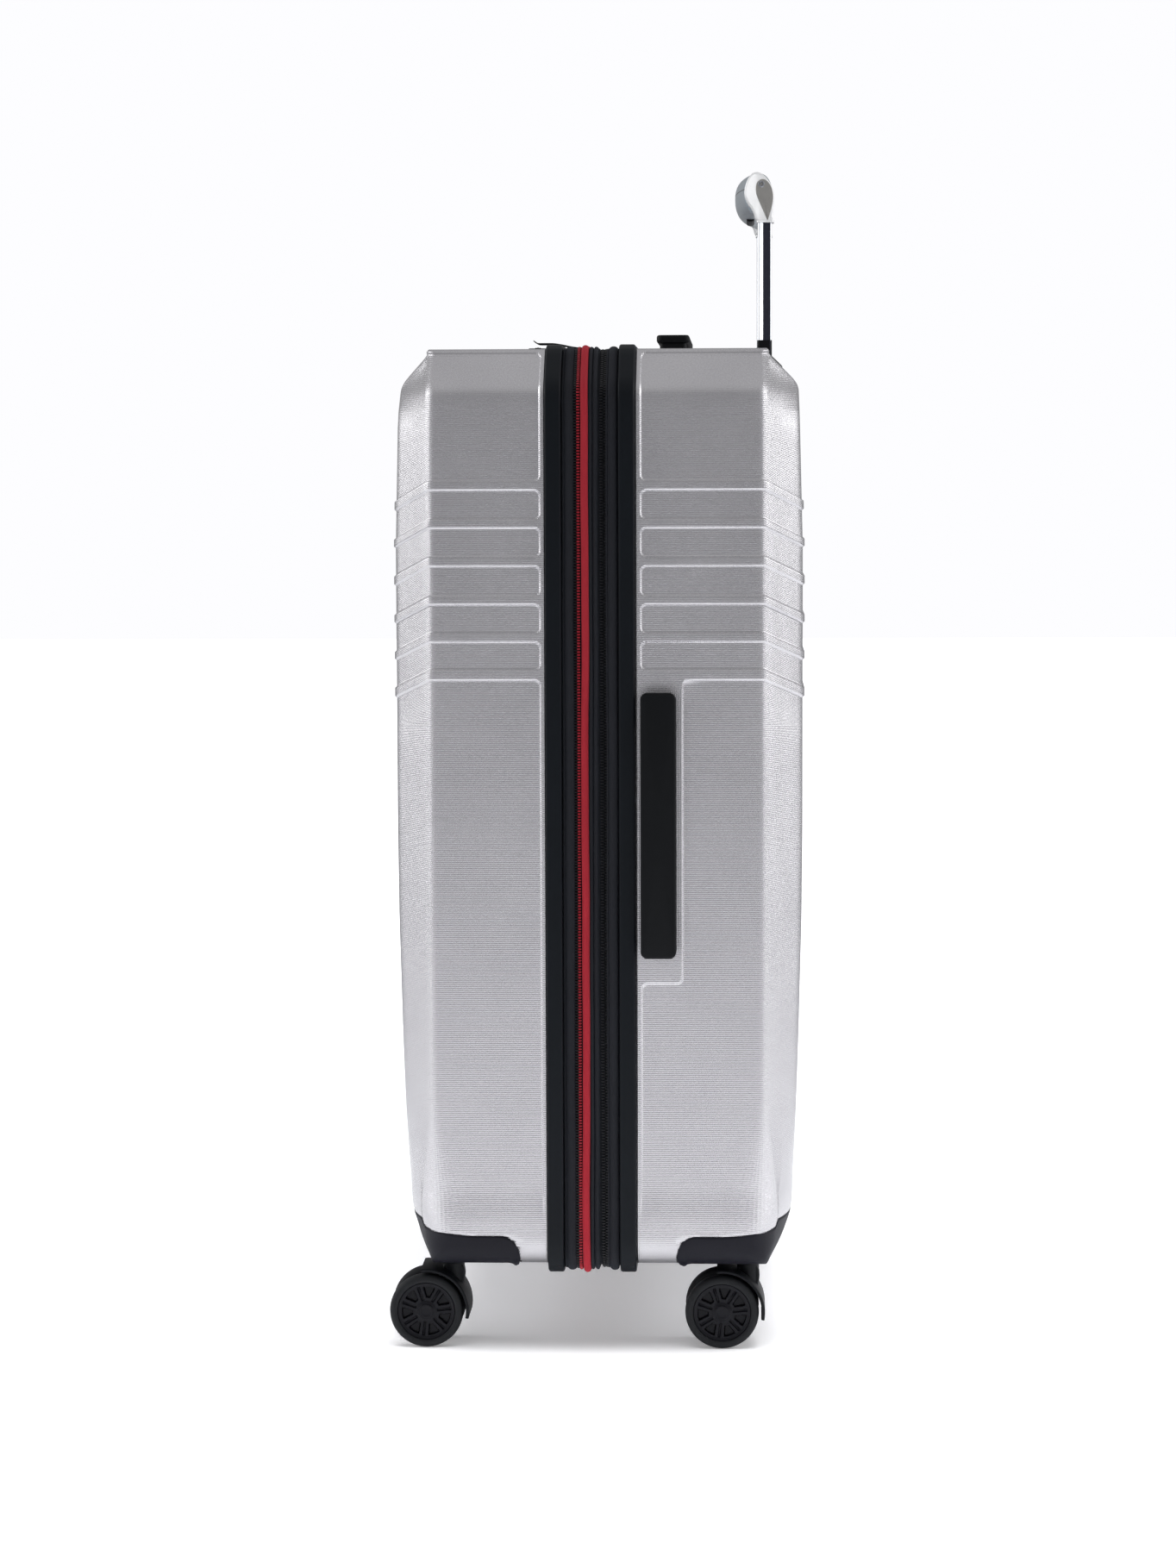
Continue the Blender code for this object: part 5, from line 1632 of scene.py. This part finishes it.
# %% Straps and buckles
WEBBING = woven_tape("grey_webbing", "#24262c", "#484b53", "#8a8f9a", pitch=2.4, depth=0.3)
for level in ("upper", "lower"):
    low, high = box_of("pack_strap_" + level)
    middle = (low[2] + high[2]) / 2
    y = np.linspace(low[1], high[1], 80)
    section = rounded_outline((-0.95, -19.0), (0.95, 19.0), 0.6, 4)
    slackness = 1 - 0.04 * (1 - (y / low[1]) ** 2)
    x = (low[0] + high[0]) / 2 + section[None, :, 0] + 0 * y[:, None]
    z = middle + section[None, :, 1] * slackness[:, None]
    made = solid(np.stack([x, y[:, None] + 0 * x, z], axis=-1))
    name = "pack_strap_" + level
    make(
        "webbing_" + level, "rear_half", WEBBING, made, slot="zip_fabric", replaces=[name],
        pattern=made[0][:, [1, 2, 0]]
    )
    face = low[0] - 0.2
    frame_outline = rounded_outline((-27, middle - 22.5), (27, middle + 22.5), 6, 8)
    plate = slab(frame_outline, face - 4.5, face, 1.4, axis=0)
    tongue = [
        (-20, middle - 9), (14, middle - 12), (24, middle - 4), (24, middle + 4), (14, middle + 12),
        (-20, middle + 9)
    ]
    tongue = slab(softened(tongue, 2), face - 6.2, face - 3, 1.0, axis=0)
    make("buckle_" + level, "rear_half", BLACK_ABS, plate, tongue, slot="black_plastic", sharp=50)

# %% [markdown]
# What is left of the frame keeps its own shape: trays, outer tubes, the base plate and the axles. Each is
# given the material of its own making.

# %% Carried-over parts
KEPT = {
    BLACK_ABS: ["side_handle_tray", "top_handle_tray", "trolley_tray", "trolley_base"],
    ALUMINIUM: ["trolley_outer_near", "trolley_outer_far"],
    STEEL: [f"axle_{end_name}_{side_name}" for end_name in ENDS for side_name in SIDES],
}
for material, names in KEPT.items():
    for name in names:
        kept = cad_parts[name]
        kept.data.materials.clear()
        kept.data.materials.append(material)
print("parts carried over:", sum(len(names) for names in KEPT.values()))


# %% [markdown]
# ## Floor, light and camera
#
# A white sweep with soft light from the sides, and a darker room behind the camera. Metal shows what it
# mirrors, so the room's brightness in each direction does more for the shells than the lamps do. The floor
# has its own overhead light, so that the case throws a soft shadow without a white glare on its top.

# %% The studio
def studio_floor():
    """Paper that glows white to the camera, weakly near the case and fully far off: painted light. The colour
    it shows the case is painted darker with distance, a painted pool of light round the case.
    """
    floor = bpy.data.materials.new("paper_sweep_with_painted_glow")
    floor.use_nodes = True
    tree = floor.node_tree
    principled = tree.nodes["Principled BSDF"]
    path = node(tree, "ShaderNodeLightPath").outputs["Is Camera Ray"]
    far = node(
        tree, "ShaderNodeVectorMath", {"operation": "LENGTH"}, {0: coordinates(tree)}
    ).outputs["Value"]
    ramp = {0: far, 1: 0.5, 2: 1.9, 3: 0.0, 4: 1.0}
    # painted light: as the case sees it, the floor is pale near the case and darker far off, a painted pool
    # of light
    painted_falloff = between(
        tree, node(tree, "ShaderNodeMapRange", {"interpolation_type": "SMOOTHSTEP"}, ramp).outputs[0],
        "#e4e5e8", "#96979a"
    )
    both = node(
        tree, "ShaderNodeMix", {"data_type": "RGBA"}, {0: path, 6: painted_falloff, 7: linear("#f8f8fa")}
    ).outputs[2]
    tree.links.new(both, principled.inputs["Base Color"])
    # painted light: the floor glows to the camera, weakly within 0.7 m of the middle and fully beyond 2.2 m
    fade = node(
        tree, "ShaderNodeMapRange", {"interpolation_type": "SMOOTHSTEP"},
        {0: far, 1: 0.7, 2: 2.2, 3: 0.2, 4: 1.0}
    )
    seen = math_of(tree, "MULTIPLY", path, fade.outputs[0])
    tree.links.new(math_of(tree, "MAXIMUM", seen, 0.02), principled.inputs["Emission Strength"])
    principled.inputs["Emission Color"].default_value = linear("#ffffff")
    principled.inputs["Roughness"].default_value = 0.7
    mesh = bpy.data.meshes.new("floor")
    size = 12.0
    mesh.from_pydata(
        [(-size, -size, 0), (size, -size, 0), (size, size, 0), (-size, size, 0)], [], [(0, 1, 2, 3)]
    )
    mesh.materials.append(floor)
    obj = bpy.data.objects.new("floor", mesh)
    scene.collection.objects.link(obj)
    return obj


# %% [markdown]
# The lamps are large and soft. Two of them are kept to a few pieces by light linking, as a photographer
# would do with flags.


# %% Lamps and room
def lamp(name, place, target, size, power, only=None):
    """A rectangular softbox at place that looks at target, and may light only some objects."""
    light = bpy.data.lights.new(name, "AREA")
    light.shape = "RECTANGLE"
    light.size, light.size_y = size
    light.energy = power
    obj = bpy.data.objects.new(name, light)
    obj.location = place
    obj.rotation_euler = (Vector(target) - Vector(place)).to_track_quat("-Z", "Y").to_euler()
    scene.collection.objects.link(obj)
    if only:
        lit = bpy.data.collections.new(name + "_lights")
        for piece in only:
            lit.objects.link(piece)
        obj.light_linking.receiver_collection = lit


def studio_world():
    """White to the camera. What lights the case is 0.31 in front, 0.51 overhead and 1.35 at the sides."""
    world = bpy.data.worlds.new("studio")
    world.use_nodes = True
    tree = world.node_tree
    background = tree.nodes["Background"]
    background.inputs["Color"].default_value = linear("#fdfdff")
    direction = node(tree, "ShaderNodeTexCoord").outputs["Generated"]
    axes = node(tree, "ShaderNodeSeparateXYZ", {}, {0: direction}).outputs
    sideways = math_of(tree, "ABSOLUTE", axes[0])
    ramp = node(
        tree, "ShaderNodeMapRange", {"interpolation_type": "SMOOTHSTEP"}, {0: sideways, 1: 0.62, 2: 0.99}
    )
    lit = between(tree, ramp.outputs[0], 0.31, 1.35)
    lift = node(
        tree, "ShaderNodeMapRange", {"interpolation_type": "SMOOTHSTEP"},
        {0: axes[2], 1: 0.3, 2: 1.0, 3: 0.0, 4: 0.2}
    )
    lit = math_of(tree, "ADD", lit, lift.outputs[0])
    path = node(tree, "ShaderNodeLightPath").outputs["Is Camera Ray"]
    mixed = node(tree, "ShaderNodeMix", {}, {0: path, 2: lit, 3: 1.0}).outputs[0]
    tree.links.new(mixed, background.inputs["Strength"])
    scene.world = world


floor = studio_floor()
studio_world()
lamp("left_softbox", (-2.4, 0.1, 1.35), (0, 0.1, 1.2), (1.3, 1.4), 13)
lamp("right_softbox", (2.4, 0.1, 1.35), (0, 0.1, 1.2), (1.3, 1.4), 13)
lamp("floor_light", (0.2, -0.3, 2.6), (0, 0, 0), (2.6, 2.2), 95, only=[floor])
grip = [bpy.data.objects[name + end] for name in ("grip_end_", "aluminium_tube_") for end in SIDES]
lamp("grip_light", (-0.6, -3.4, 1.3), (0.1, 0, 0.85), (1.6, 1.6), 26, only=grip)

# %% [markdown]
# The camera stands about 3 m away at the height of the upper ribs, with a lens long enough to keep the
# sides nearly parallel.

# %% The camera
camera = bpy.data.cameras.new("camera")
camera.lens = 87.1
camera.sensor_width = 36
view = bpy.data.objects.new("camera", camera)
scene.collection.objects.link(view)
view.location = Vector((0.111, -3.126, 0.679)) + Vector(MIDDLE)
aim = Vector((-0.0077, -0.238, 0.4383)) + Vector(MIDDLE)
lean = Matrix.Rotation(math.radians(-0.2), 3, "Z")
view.rotation_euler = ((aim - view.location).to_track_quat("-Z", "Y").to_matrix() @ lean).to_euler()
scene.camera = view
scene.view_settings.view_transform = "Standard"
print("the camera stands", round((view.location - aim).length, 3), "m from what it looks at")
